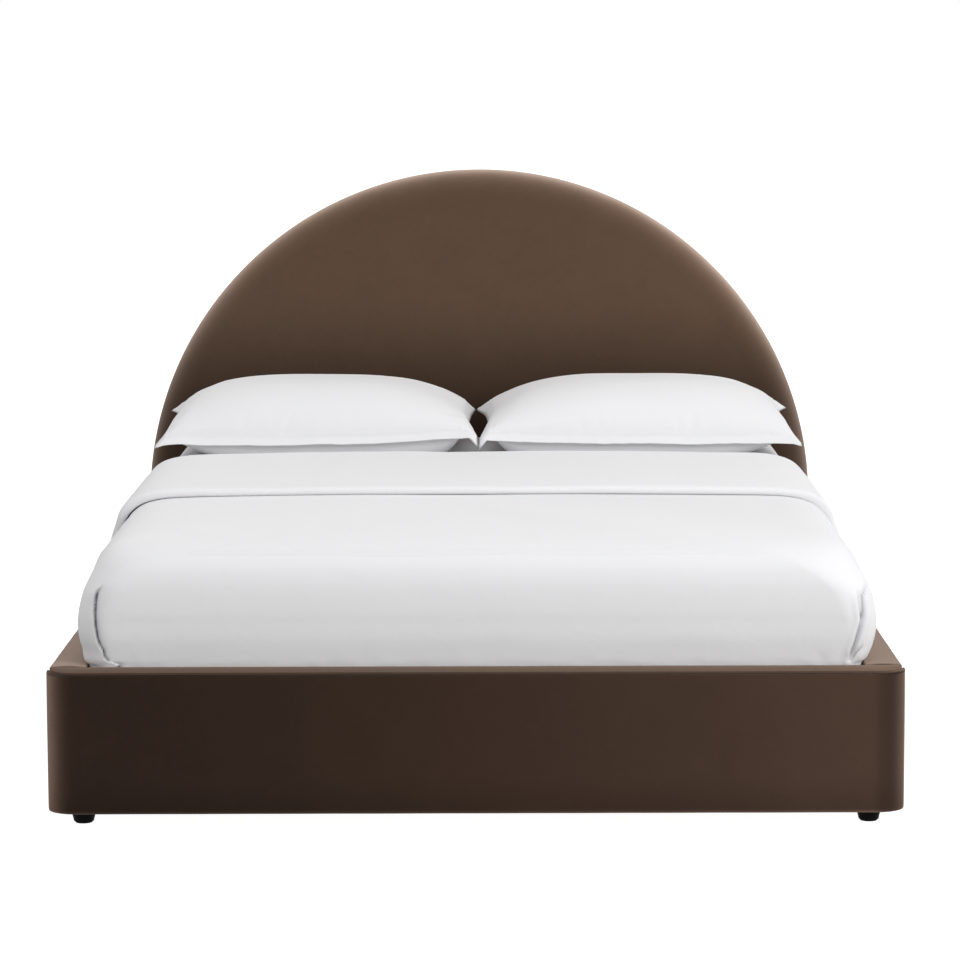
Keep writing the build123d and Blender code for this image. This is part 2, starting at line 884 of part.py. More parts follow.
def slat():
    # Sprung slat: a flat board bent to a low crown
    start = tube_size / 2 + slat_end_gap
    end = frame_half - tube_size - slat_end_gap
    top = mattress_z - rest_gap
    middle = (start + end) / 2
    low = top - slat_rise
    upper = ThreePointArc((start, low), (middle, top), (end, low))
    lower = ThreePointArc(
        (end, low - slat_thickness), (middle, top - slat_thickness), (start, low - slat_thickness)
    )
    outline = upper + Line(upper @ 1, lower @ 0) + lower + Line(lower @ 1, upper @ 0)
    return front_plate(make_face(outline), -slat_width / 2, slat_width / 2)


def slats():
    return [Pos(0, y, 0) * slat() for y in slat_places()]


def holder():
    # Moulded cap that is fixed to the tube and takes a slat's end; open towards the slat
    low = mattress_z - rest_gap - slat_rise - slat_thickness
    rise = slat_thickness + slat_rise / 4
    width = slat_width + 2 * (holder_wall + holder_play)
    height = rise + 2 * (holder_wall / 2 + holder_play)
    body = Pos(holder_length / 2, 0, low + rise / 2) * Box(holder_length, width, height)
    body = chamfer(body.edges().filter_by(Axis.Z).group_by(Axis.X)[-1], holder_wall)
    pocket = Box(holder_length, slat_width + 2 * holder_play, rise + 2 * holder_play)
    return body - Pos(holder_length / 2 + slat_end_gap - holder_play, 0, low + rise / 2) * pocket


def holders():
    near = holder()
    far = other_side(near)
    inner = tube_size / 2
    outer = frame_half - tube_size
    pieces = []
    for y in slat_places():
        pieces += [Pos(inner, y, 0) * near, Pos(outer, y, 0) * far]
        pieces += [Pos(-inner, y, 0) * far, Pos(-outer, y, 0) * near]
    return pieces


def pull_strap():
    # Webbing handle that lies flat on the foot tube, doubled over at both ends
    z = tube_top - tube_size / 2
    half = strap_width / 2
    face = frame_foot
    strap = block(
        (-strap_length / 2, strap_length / 2), (face - strap_thickness, face), (z - half, z + half)
    )
    for side in (-1, 1):
        x_range = sorted((side * strap_length / 2, side * (strap_length / 2 - strap_tab)))
        strap += block(x_range, (face - 2 * strap_thickness, face), (z - half, z + half))
    return strap


# Bedding


def wrapped_mattress(gap):
    # The mattress grown by a gap on its top and sides
    half = mattress_width / 2 + gap
    along = (mattress_foot - gap, mattress_head + gap)
    box = block((-half, half), along, (mattress_z, mattress_top + gap))
    box = fillet(box.edges().filter_by(Axis.Z), mattress_corner_radius + gap)
    box = fillet(box.faces().sort_by(Axis.Z)[-1].edges(), mattress_top_radius + gap)
    return fillet(box.faces().sort_by(Axis.Z)[0].edges(), mattress_base_radius)


def mattress():
    return wrapped_mattress(0)


def fitted_sheet():
    outer = wrapped_mattress(sheet_gap + sheet_thickness)
    low = mattress_z + mattress_base_radius
    keep = block((-half_width, half_width), (foot_face, head_back), (low, headboard_top))
    return (outer - wrapped_mattress(sheet_gap)) & keep


def duvet_section(y, bulge, shoulder, low):
    # Closed section across the bed: tucked sides, a swell over the rails and a low crown
    swell_low = max(box_top + duvet_over_rail, low + overrun)
    tuck = bulge - duvet_least_swell
    if low < box_top:
        tuck = min(rail_inner - duvet_tuck_gap, tuck)
    depth = duvet_shoulder
    side = Line((tuck, low), (tuck, swell_low))
    swell = ThreePointArc(
        (tuck, swell_low), (bulge, (swell_low + shoulder) / 2), (bulge - depth / 5, shoulder - depth * 3 / 5)
    )
    round_over = ThreePointArc(
        swell @ 1, (bulge - depth / 2, shoulder - depth / 5), (bulge - depth, shoulder)
    )
    crown = ThreePointArc(round_over @ 1, (0, shoulder + duvet_crown), (depth - bulge, shoulder))
    half = side + swell + round_over
    outline = half + crown + mirror(half, about=Plane.YZ) + Line((-tuck, low), (tuck, low))
    return Plane.XZ.offset(-y) * make_face(outline)


def duvet_body():
    # Shares of the foot end: place along its run, how far it is drawn in and how far it drops
    foot_shares = (
        (0, 1, 1), (0.017, 0.7, 0.58), (0.042, 0.45, 0.31), (0.075, 0.25, 0.16),
        (0.125, 0.12, 0.09), (0.3, 0.03, 0.04), (0.65, 0, 0.01), (1, 0, 0),
    )
    foot = foot_inner + duvet_foot_gap
    bulge = rail_inner + duvet_bulge
    top = sheet_top + duvet_fill
    low = box_top + duvet_over_rail - duvet_tuck_depth
    sections = []
    for along, draw, drop in foot_shares:
        y = foot + duvet_foot_run * along
        sections.append(
            duvet_section(y, bulge - duvet_foot_draw * draw, top - duvet_foot_drop * drop, low)
        )
    sections.append(duvet_section(duvet_head - duvet_head_roll, bulge, top, low))
    sections.append(
        duvet_section(duvet_head, bulge - duvet_head_roll / 2, top - duvet_head_roll / 2, low)
    )
    return loft(sections, ruled=True)


def cuff_body():
    # Shares of the turned-down cuff: place along it and how thick it is there
    cuff_shares = ((0, 0.25), (0.015, 0.6), (0.05, 0.85), (0.2, 1), (0.9, 1), (0.965, 0.85), (1, 0.35))
    run = duvet_head - cuff_foot
    bulge = rail_inner + duvet_bulge
    top = sheet_top + duvet_fill
    sections = []
    for along, share in cuff_shares:
        y = cuff_foot + run * along
        width = bulge + cuff_side_thickness * share
        height = top + cuff_thickness * share
        sections.append(duvet_section(y, width, height, mattress_top - cuff_side_drop))
    return loft(sections, ruled=True)


def duvet():
    # Quilt over the mattress with its head end turned down into a cuff
    body = duvet_body() + cuff_body()
    return body - wrapped_mattress(2 * sheet_gap + sheet_thickness)


def pillow_section(x, crown, draw):
    # Section from foot to head: flat flanges at both ends of a crowned top over a sagging base
    half = pillow_edge / 2
    foot = (pillow_foot + pillow_draw_in * draw, sheet_top + pillow_foot_rise)
    head = (pillow_head - pillow_draw_in * draw, sheet_top + pillow_head_rise)
    flange_share = pillow_flange / (head[0] - foot[0])
    foot_seam = between(foot, head, flange_share)
    head_seam = between(head, foot, flange_share)
    middle = between(foot, head, 0.5)
    rise = pillow_crown * crown
    sag = (middle[1] - sheet_top - half - pillow_seat_gap) * crown

    def raised(place, height):
        return (place[0], place[1] + height)

    top = ThreePointArc(raised(foot_seam, half), raised(middle, half + rise), raised(head_seam, half))
    base = ThreePointArc(raised(head_seam, -half), raised(middle, -half - sag), raised(foot_seam, -half))
    head_flange = Polyline(top @ 1, raised(head, half), raised(head, -half), base @ 0)
    foot_flange = Polyline(base @ 1, raised(foot, -half), raised(foot, half), top @ 0)
    return Plane.YZ.offset(x) * make_face(top + head_flange + base + foot_flange)


def pillow():
    # Flanged pillow, built from sections across it between two flat side flanges
    # Shares across the filled part: place, how high it is crowned and how far its ends are drawn in
    station_shares = (
        (0, 0.02, 0.3), (0.02, 0.2, 0.4), (0.06, 0.42, 0.6), (0.13, 0.66, 0.8), (0.23, 0.87, 1),
        (0.36, 0.97, 1), (0.5, 1, 1), (0.64, 0.97, 1), (0.77, 0.87, 1), (0.87, 0.66, 0.8),
        (0.94, 0.42, 0.6), (0.98, 0.2, 0.4), (1, 0.02, 0.3),
    )
    flat_share = 0.02
    start = pillow_middle_gap / 2
    filled = pillow_width - 2 * pillow_flange
    sections = [pillow_section(start, flat_share, 0)]
    for along, crown, draw in station_shares:
        sections.append(pillow_section(start + pillow_flange + filled * along, crown, draw))
    sections.append(pillow_section(start + pillow_width, flat_share, 0))
    return loft(sections, ruled=True)


def pair(name, shape_maker):
    # Saves a piece for the +X side and its mirror image
    shapes = shape_maker()
    shapes = shapes if isinstance(shapes, list) else [shapes]
    save("right_" + name, *shapes)
    save("left_" + name, *[other_side(shape) for shape in shapes])


def both_sides(shape):
    return [shape, other_side(shape)]


os.makedirs("parts", exist_ok=True)

save("foot_panel_frame", *foot_panel_frame())
save("foot_panel_cover", foot_panel_cover())
save("foot_panel_strip", foot_panel_strip())
pair("rail_frame", rail_frame)
pair("rail_cover", rail_cover)
pair("rail_strip", rail_strip)
save("headboard_frame", *headboard_frame())
save("headboard_board", headboard_board())
save("headboard_padding", headboard_padding())
save("headboard_back", headboard_back())
save("ledgers", *ledgers())
save("centre_beam", centre_beam())
pair("floor_panel", floor_panel)
save("head_end_board", head_end_board())
save("foot_ledge", platform_ledge(foot_inner))
save("head_ledge", platform_ledge(end_board_face - ledge_size))
rests = [side_rest(y) for y in rest_places]
save("side_rests", *rests, *[other_side(rest) for rest in rests])
save("rest_buffers", *buffers())
save("corner_feet", *[foot(x, y) for x, y in corner_places()])
save("centre_feet", *[foot(x, y) for x, y in centre_places()])
save("foot_glides", *[glide(x, y) for x, y in corner_places() + centre_places()])
angles = [corner_bracket(foot_inner, 1), corner_bracket(end_board_face, -1)]
save("corner_brackets", *angles, *[other_side(angle) for angle in angles])
save("frame_bolts", *rail_bolts(), *end_bolts())
pair("base_plate", base_plate)
save("arm_pins", *both_sides(arm_pin()))
save("link_pins", *both_sides(link_pin()))
save("spring_pins", *both_sides(spring_pin()))
pair("long_arm", long_arm)
bushes = arm_bushes()
save("arm_bushes", *bushes, *[other_side(bush) for bush in bushes])
pair("short_link", short_link)
pair("gas_cylinder", gas_cylinder)
pair("gas_rod", gas_rod)
pair("platform_bracket", platform_bracket)
save("bracket_bolts", *bracket_bolts())
save("platform_pins", *both_sides(platform_pin()))
save("link_end_studs", *both_sides(link_end_stud()))
pair("side_tube", side_tube)
save("end_tubes", *end_tubes())
save("centre_tube", centre_tube())
save("cross_bars", *cross_bars())
pair("slats", slats)
save("slat_holders", *holders())
save("pull_strap", pull_strap())
save("mattress", mattress())
save("fitted_sheet", fitted_sheet())
save("duvet", duvet())
pair("pillow", pillow)
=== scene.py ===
import json
import math
import bmesh
import bpy
import numpy as np
from mathutils import Euler, Matrix, Vector


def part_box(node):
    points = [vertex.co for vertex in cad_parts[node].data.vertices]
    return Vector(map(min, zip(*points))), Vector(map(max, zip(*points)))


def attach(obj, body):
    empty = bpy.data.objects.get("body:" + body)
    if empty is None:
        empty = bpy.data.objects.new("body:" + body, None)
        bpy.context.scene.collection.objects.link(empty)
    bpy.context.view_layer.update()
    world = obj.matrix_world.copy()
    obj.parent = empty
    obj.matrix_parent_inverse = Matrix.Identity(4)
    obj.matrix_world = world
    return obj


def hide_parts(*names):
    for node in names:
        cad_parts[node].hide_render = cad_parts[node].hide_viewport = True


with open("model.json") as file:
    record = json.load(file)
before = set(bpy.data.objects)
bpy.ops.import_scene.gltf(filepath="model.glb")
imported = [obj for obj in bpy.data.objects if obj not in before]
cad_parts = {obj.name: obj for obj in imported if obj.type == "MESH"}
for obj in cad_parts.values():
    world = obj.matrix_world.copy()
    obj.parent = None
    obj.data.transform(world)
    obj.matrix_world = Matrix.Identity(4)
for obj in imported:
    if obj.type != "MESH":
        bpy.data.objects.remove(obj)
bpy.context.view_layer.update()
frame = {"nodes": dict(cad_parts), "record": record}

print("frame loaded", len(frame["nodes"]), "nodes")


# Places read off the frame, in metres

def low(node):
    return np.array(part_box(node)[0])


def high(node):
    return np.array(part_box(node)[1])


halfWidth, footInner, seamZ = high("foot_panel_cover")
footFace, panelFoot = low("foot_panel_cover")[1:]
headBack, archTop = high("headboard_padding")[1:]
headFace = low("headboard_padding")[1]
boxTop = high("foot_panel_strip")[2]
railInner = low("right_rail_cover")[0]
sheetTop = high("fitted_sheet")[2]
archZ = archTop - halfWidth
quarter = math.pi / 2


# Arrays and meshes

def smoothStep(value, start, end):
    # 0 before start, 1 after end, an s-curve between
    t = np.clip((value - start) / (end - start), 0, 1)
    return t * t * (3 - 2 * t)


def between(value, start, full, fading, end):
    # 1 from full to fading, 0 before start and after end
    return smoothStep(value, start, full) * (1 - smoothStep(value, fading, end))


def dome(value, square, steep):
    # 1 in the middle, 0 from -1 and 1 outwards; square and steep shape its shoulders
    return np.maximum(1 - np.abs(value) ** square, 0) ** steep


def bump(value, middle, width):
    # bell curve, 1 at the middle
    return np.exp(-(((value - middle) / width) ** 2))


def softNoise(x, y, size, seed):
    # sum of plane waves of about the given length in random directions, from about -1 to 1
    waves = 7
    rng = np.random.default_rng(seed)
    total = np.zeros(np.broadcast(x, y).shape)
    for wave in range(waves):
        angle = rng.uniform(0, 2 * math.pi)
        length = size * rng.uniform(0.7, 1.5)
        phase = rng.uniform(0, 2 * math.pi)
        total += np.sin(2 * math.pi * (x * math.cos(angle) + y * math.sin(angle)) / length + phase)
    return total / math.sqrt(waves / 2) / 2


def curveThrough(points, count):
    # Catmull-Rom curve through the points, evenly counted between each two of them
    p = np.array(points, float)
    p = np.vstack([2 * p[0] - p[1], p, 2 * p[-1] - p[-2]])
    t = np.linspace(0, len(points) - 1, count)
    k = np.minimum(t.astype(int), len(points) - 2)
    f = (t - k)[:, None]
    a, b, c, d = p[k], p[k + 1], p[k + 2], p[k + 3]
    curve = b + f * (c - a) / 2 + f ** 2 * (a - 2.5 * b + 2 * c - d / 2)
    return curve + f ** 3 * (1.5 * b - 1.5 * c + d / 2 - a / 2)


def along(stops, value):
    # value of a smooth line through the stops, each a place and a height
    return np.interp(value, *curveThrough(stops, 200).T)


def spread(stops, counts):
    # places from stop to stop, with the given number of steps in each stretch
    parts = [np.linspace(a, b, n, endpoint=False) for a, b, n in zip(stops[:-1], stops[1:], counts)]
    return np.concatenate(parts + [[stops[-1]]])


def lineOf(*coordinates):
    # points as rows, from their coordinates; a single number holds for all of them
    return np.stack(np.broadcast_arrays(*np.atleast_1d(*coordinates)), 1)


def distances(line):
    # how far along a line each of its points lies
    return np.concatenate([[0], np.cumsum(np.linalg.norm(np.diff(line, axis=0), axis=1))])


def gridQuads(rows, cols, start, wrap, turned):
    # faces of a grid of points, closed round its columns with wrap
    index = np.arange(rows * cols).reshape(rows, cols) + start
    r, c = np.arange(rows - 1), np.arange(cols if wrap else cols - 1)
    turns = [(r, c), (r + 1, c), (r + 1, (c + 1) % cols), (r, (c + 1) % cols)]
    quads = np.stack([index[np.ix_(*turn)] for turn in turns], -1).reshape(-1, 4)
    return quads[:, ::-1] if turned else quads


def clothUv(points):
    # distances along the rows and columns of a grid, in metres
    steps = [np.linalg.norm(np.diff(points, axis=axis), axis=2) for axis in (0, 1)]
    u = np.vstack([np.zeros((1, points.shape[1])), np.cumsum(steps[0], axis=0)])
    v = np.hstack([np.zeros((points.shape[0], 1)), np.cumsum(steps[1], axis=1)])
    return np.stack([u, v], -1)


def addObject(name, data):
    made = bpy.data.objects.new(name, data)
    bpy.context.scene.collection.objects.link(made)
    return made


def reshape(mesh, change):
    # changes a mesh with bmesh
    work = bmesh.new()
    work.from_mesh(mesh)
    change(work)
    work.to_mesh(mesh)
    work.free()


def makePiece(name, grids, wrap=False, merge=1e-5, shadeMarks=None):
    # one mesh of several grids of points, each with whether it is turned round; marks are painted
    # shade for the points, which the linen's material reads
    coords, quads, uvs, start = [], [], [], 0
    for points, turned in grids:
        rows, cols = points.shape[:2]
        coords.append(points.reshape(-1, 3))
        quads.append(gridQuads(rows, cols, start, wrap, turned))
        uvs.append(clothUv(points).reshape(-1, 2))
        start += rows * cols
    coords, quads, uvs = np.vstack(coords), np.vstack(quads), np.vstack(uvs)
    mesh = bpy.data.meshes.new(name)
    mesh.from_pydata(coords, [], quads.tolist())
    layer = mesh.uv_layers.new(name="cloth")
    layer.data.foreach_set("uv", uvs[quads.ravel()].ravel())
    if shadeMarks is not None:
        mesh.attributes.new("paintedFoldShade", "FLOAT", "POINT").data.foreach_set("value", shadeMarks.ravel())

    def weld(work):
        bmesh.ops.remove_doubles(work, verts=work.verts, dist=merge)
        bmesh.ops.dissolve_degenerate(work, edges=work.edges, dist=1e-7)

    reshape(mesh, weld)
    mesh.polygons.foreach_set("use_smooth", np.ones(len(mesh.polygons), bool))
    return addObject(name, mesh)


def faceOutwards(piece):
    # turns a closed piece the right way round if its volume comes out negative
    work = bmesh.new()
    work.from_mesh(piece.data)
    if work.calc_volume(signed=True) < 0:
        piece.data.flip_normals()
    work.free()
    return piece


def capped(rings):
    # closes a tube of rings at both ends by rings that shrink to their middle
    def shrunk(ring, share):
        middle = ring.mean(axis=1, keepdims=True)
        return middle + (ring - middle) * share

    first, last = rings[:1], rings[-1:]
    return np.concatenate([shrunk(first, 0), shrunk(first, 0.5), rings, shrunk(last, 0.5),
                           shrunk(last, 0)])


def setMaterial(piece, material):
    piece.data.materials.clear()
    piece.data.materials.append(material)


def dress(piece, material, body, node=None):
    # gives a piece its material, hides the frame's node that it stands for and attaches it to the
    # body it rides on
    setMaterial(piece, material)
    if node:
        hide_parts(node)
    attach(piece, body)
    return piece


def addThickness(piece, name, thickness):
    # a wall behind the surface
    wall = piece.modifiers.new(name, "SOLIDIFY")
    wall.thickness, wall.offset = thickness, -1


# Shader nodes

def addNode(tree, kind, links=None, **settings):
    # a node with its settings, whose inputs are values or other nodes' outputs
    node = tree.nodes.new(kind)
    for key, value in settings.items():
        setattr(node, key, value)
    for key, value in (links or {}).items():
        if isinstance(value, bpy.types.NodeSocket):
            tree.links.new(value, node.inputs[key])
        else:
            node.inputs[key].default_value = value
    return node


def mathNode(tree, operation, a, b=0.0):
    return addNode(tree, "ShaderNodeMath", {0: a, 1: b}, operation=operation).outputs[0]


def plus(tree, a, b):
    return mathNode(tree, "ADD", a, b)


def times(tree, a, b):
    return mathNode(tree, "MULTIPLY", a, b)


def noiseNode(tree, vector, scale, detail=2.0, roughness=0.5, distortion=0.0):
    links = {"Vector": vector, "Scale": scale, "Detail": detail, "Roughness": roughness,
             "Distortion": distortion}
    return addNode(tree, "ShaderNodeTexNoise", links).outputs["Fac"]


def mapped(tree, vector, **settings):
    # a vector moved, turned or stretched
    return addNode(tree, "ShaderNodeMapping", {"Vector": vector, **settings}).outputs[0]


def axes(tree, vector):
    return addNode(tree, "ShaderNodeSeparateXYZ", {0: vector}).outputs


def slope(tree, value, start, end, atStart, atEnd):
    # goes smoothly from one level to another between two places
    links = {"Value": value, "From Min": start, "From Max": end, "To Min": atStart, "To Max": atEnd}
    return addNode(tree, "ShaderNodeMapRange", links, interpolation_type="SMOOTHSTEP").outputs[0]


def mixColours(tree, factor, a, b):
    links = {0: factor}
    for key, value in ((6, a), (7, b)):
        links[key] = (*value, 1.0) if isinstance(value, tuple) else value
    return addNode(tree, "ShaderNodeMix", links, data_type="RGBA").outputs[2]


def scaled(colour, factor):
    return tuple(factor * part for part in colour)


# Node groups shared by the materials

def makeGroup(name, inputs, outputs, build):
    # a group that takes a vector and numbers; build gives its outputs' values in their order
    group = bpy.data.node_groups.new(name, "ShaderNodeTree")

    def socket(label, way, kind="Float"):
        return group.interface.new_socket(label, in_out=way, socket_type="NodeSocket" + kind)

    socket("Vector", "INPUT", "Vector")
    for label, value in inputs.items():
        socket(label, "INPUT").default_value = value
    for label in outputs:
        socket(label, "OUTPUT")
    given = group.nodes.new("NodeGroupInput")
    addNode(group, "NodeGroupOutput", dict(zip(outputs, build(group, given.outputs))))
    return group


def placed(tree, group, **links):
    return addNode(tree, "ShaderNodeGroup", links, node_tree=group).outputs


def pile(tree, given):
    # short pile: nap in soft patches and fine specks, and a painted light slope along X, as a
    # brightness and a height
    vector = given["Vector"]
    patches = plus(tree, noiseNode(tree, vector, given["Size"], 3.0, 0.55, 0.6), -0.5)
    patches = times(tree, patches, given["Strength"])
    stretched = mapped(tree, vector, Scale=(1.0, 1.0, 0.35))
    specks = plus(tree, noiseNode(tree, stretched, given["Specks"], 1.5, 0.6), -0.5)
    # painted light: a slope along X that makes one end lighter and the other darker
    lean = times(tree, slope(tree, axes(tree, vector)["X"], -0.8, 0.8, -0.5, 0.5), given["Lean"])
    shade = plus(tree, patches, times(tree, specks, given["Grit"]))
    return plus(tree, plus(tree, shade, lean), 1.0), specks


def weave(tree, given):
    # plain weave: two crossed sets of threads, moved by slubs, as a height
    slub = times(tree, noiseNode(tree, given["Vector"], 60.0), given["Slub"])
    parts = axes(tree, given["Vector"])
    turns = [plus(tree, times(tree, parts[axis], given["Threads"]), slub) for axis in "XY"]
    cross = times(tree, mathNode(tree, "SINE", turns[0]), mathNode(tree, "SINE", turns[1]))
    return [plus(tree, times(tree, cross, 0.5), 0.5)]


def grain(tree, given):
    # wood: waves through a soft noise for the rings, and pores, as a mask and a height
    rings = noiseNode(tree, given["Vector"], given["Rings"], 4.0, 0.6, 1.2)
    rings = mathNode(tree, "SINE", times(tree, rings, 26.0))
    rings = plus(tree, times(tree, rings, 0.5), 0.5)
    pores = noiseNode(tree, given["Vector"], given["Pores"], 2.0, 0.6)
    return plus(tree, times(tree, rings, 0.6), times(tree, pores, 0.4)), pores


def wear(tree, given):
    # dust and handling in soft blotches, as a mask
    blotch = noiseNode(tree, given["Vector"], given["Scale"], 5.0, 0.65, 0.4)
    return [times(tree, slope(tree, blotch, 0.35, 0.75, 0.0, 1.0), given["Amount"])]


pileInputs = {"Size": 9.0, "Strength": 0.16, "Specks": 700.0, "Grit": 0.12, "Lean": 0.0}
pileShade = makeGroup("pileShade", pileInputs, ["Shade", "Height"], pile)
threadWeave = makeGroup("threadWeave", {"Threads": 900.0, "Slub": 0.4}, ["Height"], weave)
woodGrain = makeGroup("woodGrain", {"Rings": 18.0, "Pores": 260.0}, ["Mask", "Height"], grain)
dustWear = makeGroup("dustWear", {"Scale": 14.0, "Amount": 0.5}, ["Mask"], wear)


def startMaterial(name, roughness, specular=0.5, more=None):
    # a material with a Principled BSDF; more holds values of its other sockets
    material = bpy.data.materials.new(name)
    material.use_nodes = True
    tree = material.node_tree
    tree.nodes.clear()
    values = {"Roughness": roughness, "Specular IOR Level": specular, **(more or {})}
    bsdf = addNode(tree, "ShaderNodeBsdfPrincipled", values)
    addNode(tree, "ShaderNodeOutputMaterial", {0: bsdf.outputs[0]})
    return material, tree, bsdf, addNode(tree, "ShaderNodeTexCoord").outputs["Object"]


def feed(tree, bsdf, colour, height, distance, strength, rough=None):
    # leads the colour, the relief and the roughness into the shader
    relief = {"Height": height, "Distance": distance, "Strength": strength}
    relief = addNode(tree, "ShaderNodeBump", relief).outputs[0]
    for key, value in (("Base Color", colour), ("Normal", relief), ("Roughness", rough)):
        if value:
            tree.links.new(value, bsdf.inputs[key])


velvetLook = {
    "roughness": 0.9, "specular": 0.08, "sheenRoughness": 0.34, "relief": 0.0006,
    # how far the cloth turns away where its painted sheen, the lighter rim colour, starts and ends
    "mottleScale": 46.0, "mottling": 0.10, "paintedSheenSpan": (-0.04, 0.62),
}


def velvet(name, colour, rim, lean=0.0, shift=0.0, paintedShading=(), archHighlight=None, corner=None,
           sheen=(0.42, 0.33, 0.28)):
    # Short-pile velvet: darker face on, with a painted sheen, the rim colour, lighter where it
    # turns away. Fades are painted light and shade along an axis. An arch is a painted highlight, a
    # lighter
    # band inside a round outline: height of its centre, radius, width and gain. A corner is painted
    # shade on the front of a rounded corner: start, end and level on X, start and end on Y
    look = velvetLook
    material, tree, bsdf, coords = startMaterial(name, look["roughness"], look["specular"], {
        "Sheen Weight": 1.0, "Sheen Roughness": look["sheenRoughness"],
        "Sheen Tint": (*sheen, 1.0)})
    moved = mapped(tree, coords, Location=(0, shift, 0))
    # the lean paints one end of the piece lighter and the other darker
    nap = placed(tree, pileShade, Vector=moved, Lean=lean)
    mottle = plus(tree, noiseNode(tree, moved, look["mottleScale"], 3.0, 0.6), -0.5)
    shade = plus(tree, nap["Shade"], times(tree, mottle, look["mottling"]))
    place = axes(tree, coords)
    # fades: painted light and shade, each making the piece lighter or darker along one axis
    for axis, *levels in paintedShading:
        shade = times(tree, shade, slope(tree, place[axis], *levels))
    # painted shade: the front of a rounded corner darker, easing off along Y towards its side
    if corner:
        dark = slope(tree, place["X"], corner[0], corner[1], 1.0, corner[2])
        side = slope(tree, place["Y"], corner[3], corner[4], 0.0, 1.0)
        shade = times(tree, shade, mathNode(tree, "MAXIMUM", dark, side))
    # painted highlight: a lighter band just inside the headboard's round outline
    if archHighlight:
        centre, radius, width, gain = archHighlight
        above = mathNode(tree, "MAXIMUM", plus(tree, place["Z"], -centre), 0.0)
        square = plus(tree, times(tree, place["X"], place["X"]), times(tree, above, above))
        reach = mathNode(tree, "SQRT", square)
        highlightBand = slope(tree, reach, radius - width, radius + width * 0.35, 0.0, gain)
        shade = times(tree, shade, plus(tree, highlightBand, 1.0))
    # painted sheen: the lighter rim colour comes in where the cloth turns away from the view
    away = addNode(tree, "ShaderNodeLayerWeight", {"Blend": 0.5}).outputs["Facing"]
    lit = mixColours(tree, slope(tree, away, *look["paintedSheenSpan"], 0.0, 1.0), colour, rim)
    tinted = addNode(tree, "ShaderNodeVectorMath", {0: lit, "Scale": shade}, operation="SCALE")
    feed(tree, bsdf, tinted.outputs[0], nap["Height"], look["relief"], 0.5)
    return material


linenLook = {
    # brightness of the gaps between the threads and of the threads
    "roughness": 0.85, "specular": 0.2, "sheen": 0.15, "gap": 0.975, "thread": 1.01,
    "creaseScale": 7.0, "creasing": 0.05, "creaseColour": (0.70, 0.70, 0.72),
    # painted shade inside a fold
    "foldShadeColour": (0.06, 0.06, 0.064), "relief": 0.004,
}


def linen(name, colour=(0.80, 0.80, 0.812), threads=2600.0):
    # White percale: fine threads and faint creases, with painted shade inside a marked fold
    look = linenLook
    material, tree, bsdf, coords = startMaterial(name, look["roughness"], look["specular"], {
        "Sheen Weight": look["sheen"], "Sheen Roughness": 0.5, "Sheen Tint": (1, 1, 1, 1)})
    uv = addNode(tree, "ShaderNodeUVMap", uv_map="cloth").outputs[0]
    cloth = placed(tree, threadWeave, Vector=uv, Threads=threads)["Height"]
    crease = noiseNode(tree, coords, look["creaseScale"], 3.0, 0.5, 0.8)
    light = mixColours(tree, cloth, scaled(colour, look["gap"]), scaled(colour, look["thread"]))
    light = mixColours(tree, times(tree, crease, look["creasing"]), light, look["creaseColour"])
    foldShadeMask = addNode(tree, "ShaderNodeAttribute", attribute_name="paintedFoldShade").outputs["Fac"]
    light = mixColours(tree, foldShadeMask, light, look["foldShadeColour"])
    feed(tree, bsdf, light, plus(tree, times(tree, cloth, 0.05), crease), look["relief"], 0.5)
    return material


def wood(name, light, dark, along="Y", rings=14.0, roughness=0.6):
    # grain along one axis, with a little dust
    material, tree, bsdf, coords = startMaterial(name, roughness, 0.35)
    stretch = [0.06 if axis == along else 1.0 for axis in "XYZ"]
    lines = placed(tree, woodGrain, Vector=mapped(tree, coords, Scale=stretch), Rings=rings)
    dust = placed(tree, dustWear, Vector=coords, Amount=0.25)["Mask"]
    colour = mixColours(tree, lines["Mask"], light, dark)
    colour = mixColours(tree, dust, colour, tuple(0.75 * part + 0.08 for part in light))
    rough = plus(tree, times(tree, lines["Mask"], 0.15), roughness - 0.07)
    feed(tree, bsdf, colour, lines["Height"], 0.0004, 0.6, rough)
    return material


def plainFinish(name, colour, roughness, worn, skin, wear=0.2, depth=0.0003, specular=0.5, **more):
    # moulded, coated or plated finish with a fine surface grain and handling marks
    material, tree, bsdf, coords = startMaterial(name, roughness, specular, more)
    fine = noiseNode(tree, coords, skin, 3.0, 0.6)
    dust = placed(tree, dustWear, Vector=coords, Scale=30.0, Amount=wear)["Mask"]
    rough = plus(tree, times(tree, fine, 0.2), roughness - 0.1)
    rough = plus(tree, rough, times(tree, dust, 0.15))
    feed(tree, bsdf, mixColours(tree, dust, colour, worn), fine, depth, 0.6, rough)
    return material


def wovenFinish(name, colour, threads, roughness):
    # coarse woven or felted cloth
    material, tree, bsdf, coords = startMaterial(name, roughness, 0.15)
    turned = mapped(tree, coords, Rotation=(quarter, 0, 0))
    cloth = placed(tree, threadWeave, Vector=turned, Threads=threads, Slub=2.0)["Height"]
    fibres = noiseNode(tree, coords, 340.0, 3.0, 0.7)
    mask = plus(tree, times(tree, cloth, 0.5), times(tree, fibres, 0.5))
    mixed = mixColours(tree, mask, scaled(colour, 0.7), scaled(colour, 1.3))
    feed(tree, bsdf, mixed, mask, 0.0006, 0.7)
    return material


# Materials. The velvet is one brown cloth; its pieces are lit and shaded copies, each with base and
# rim colours painted lighter or darker for how light falls on it

# painted shade: velvet darker towards its hem at the floor
paintedHemShade = ("Z", 0.026, 0.110, 0.78, 1.0)
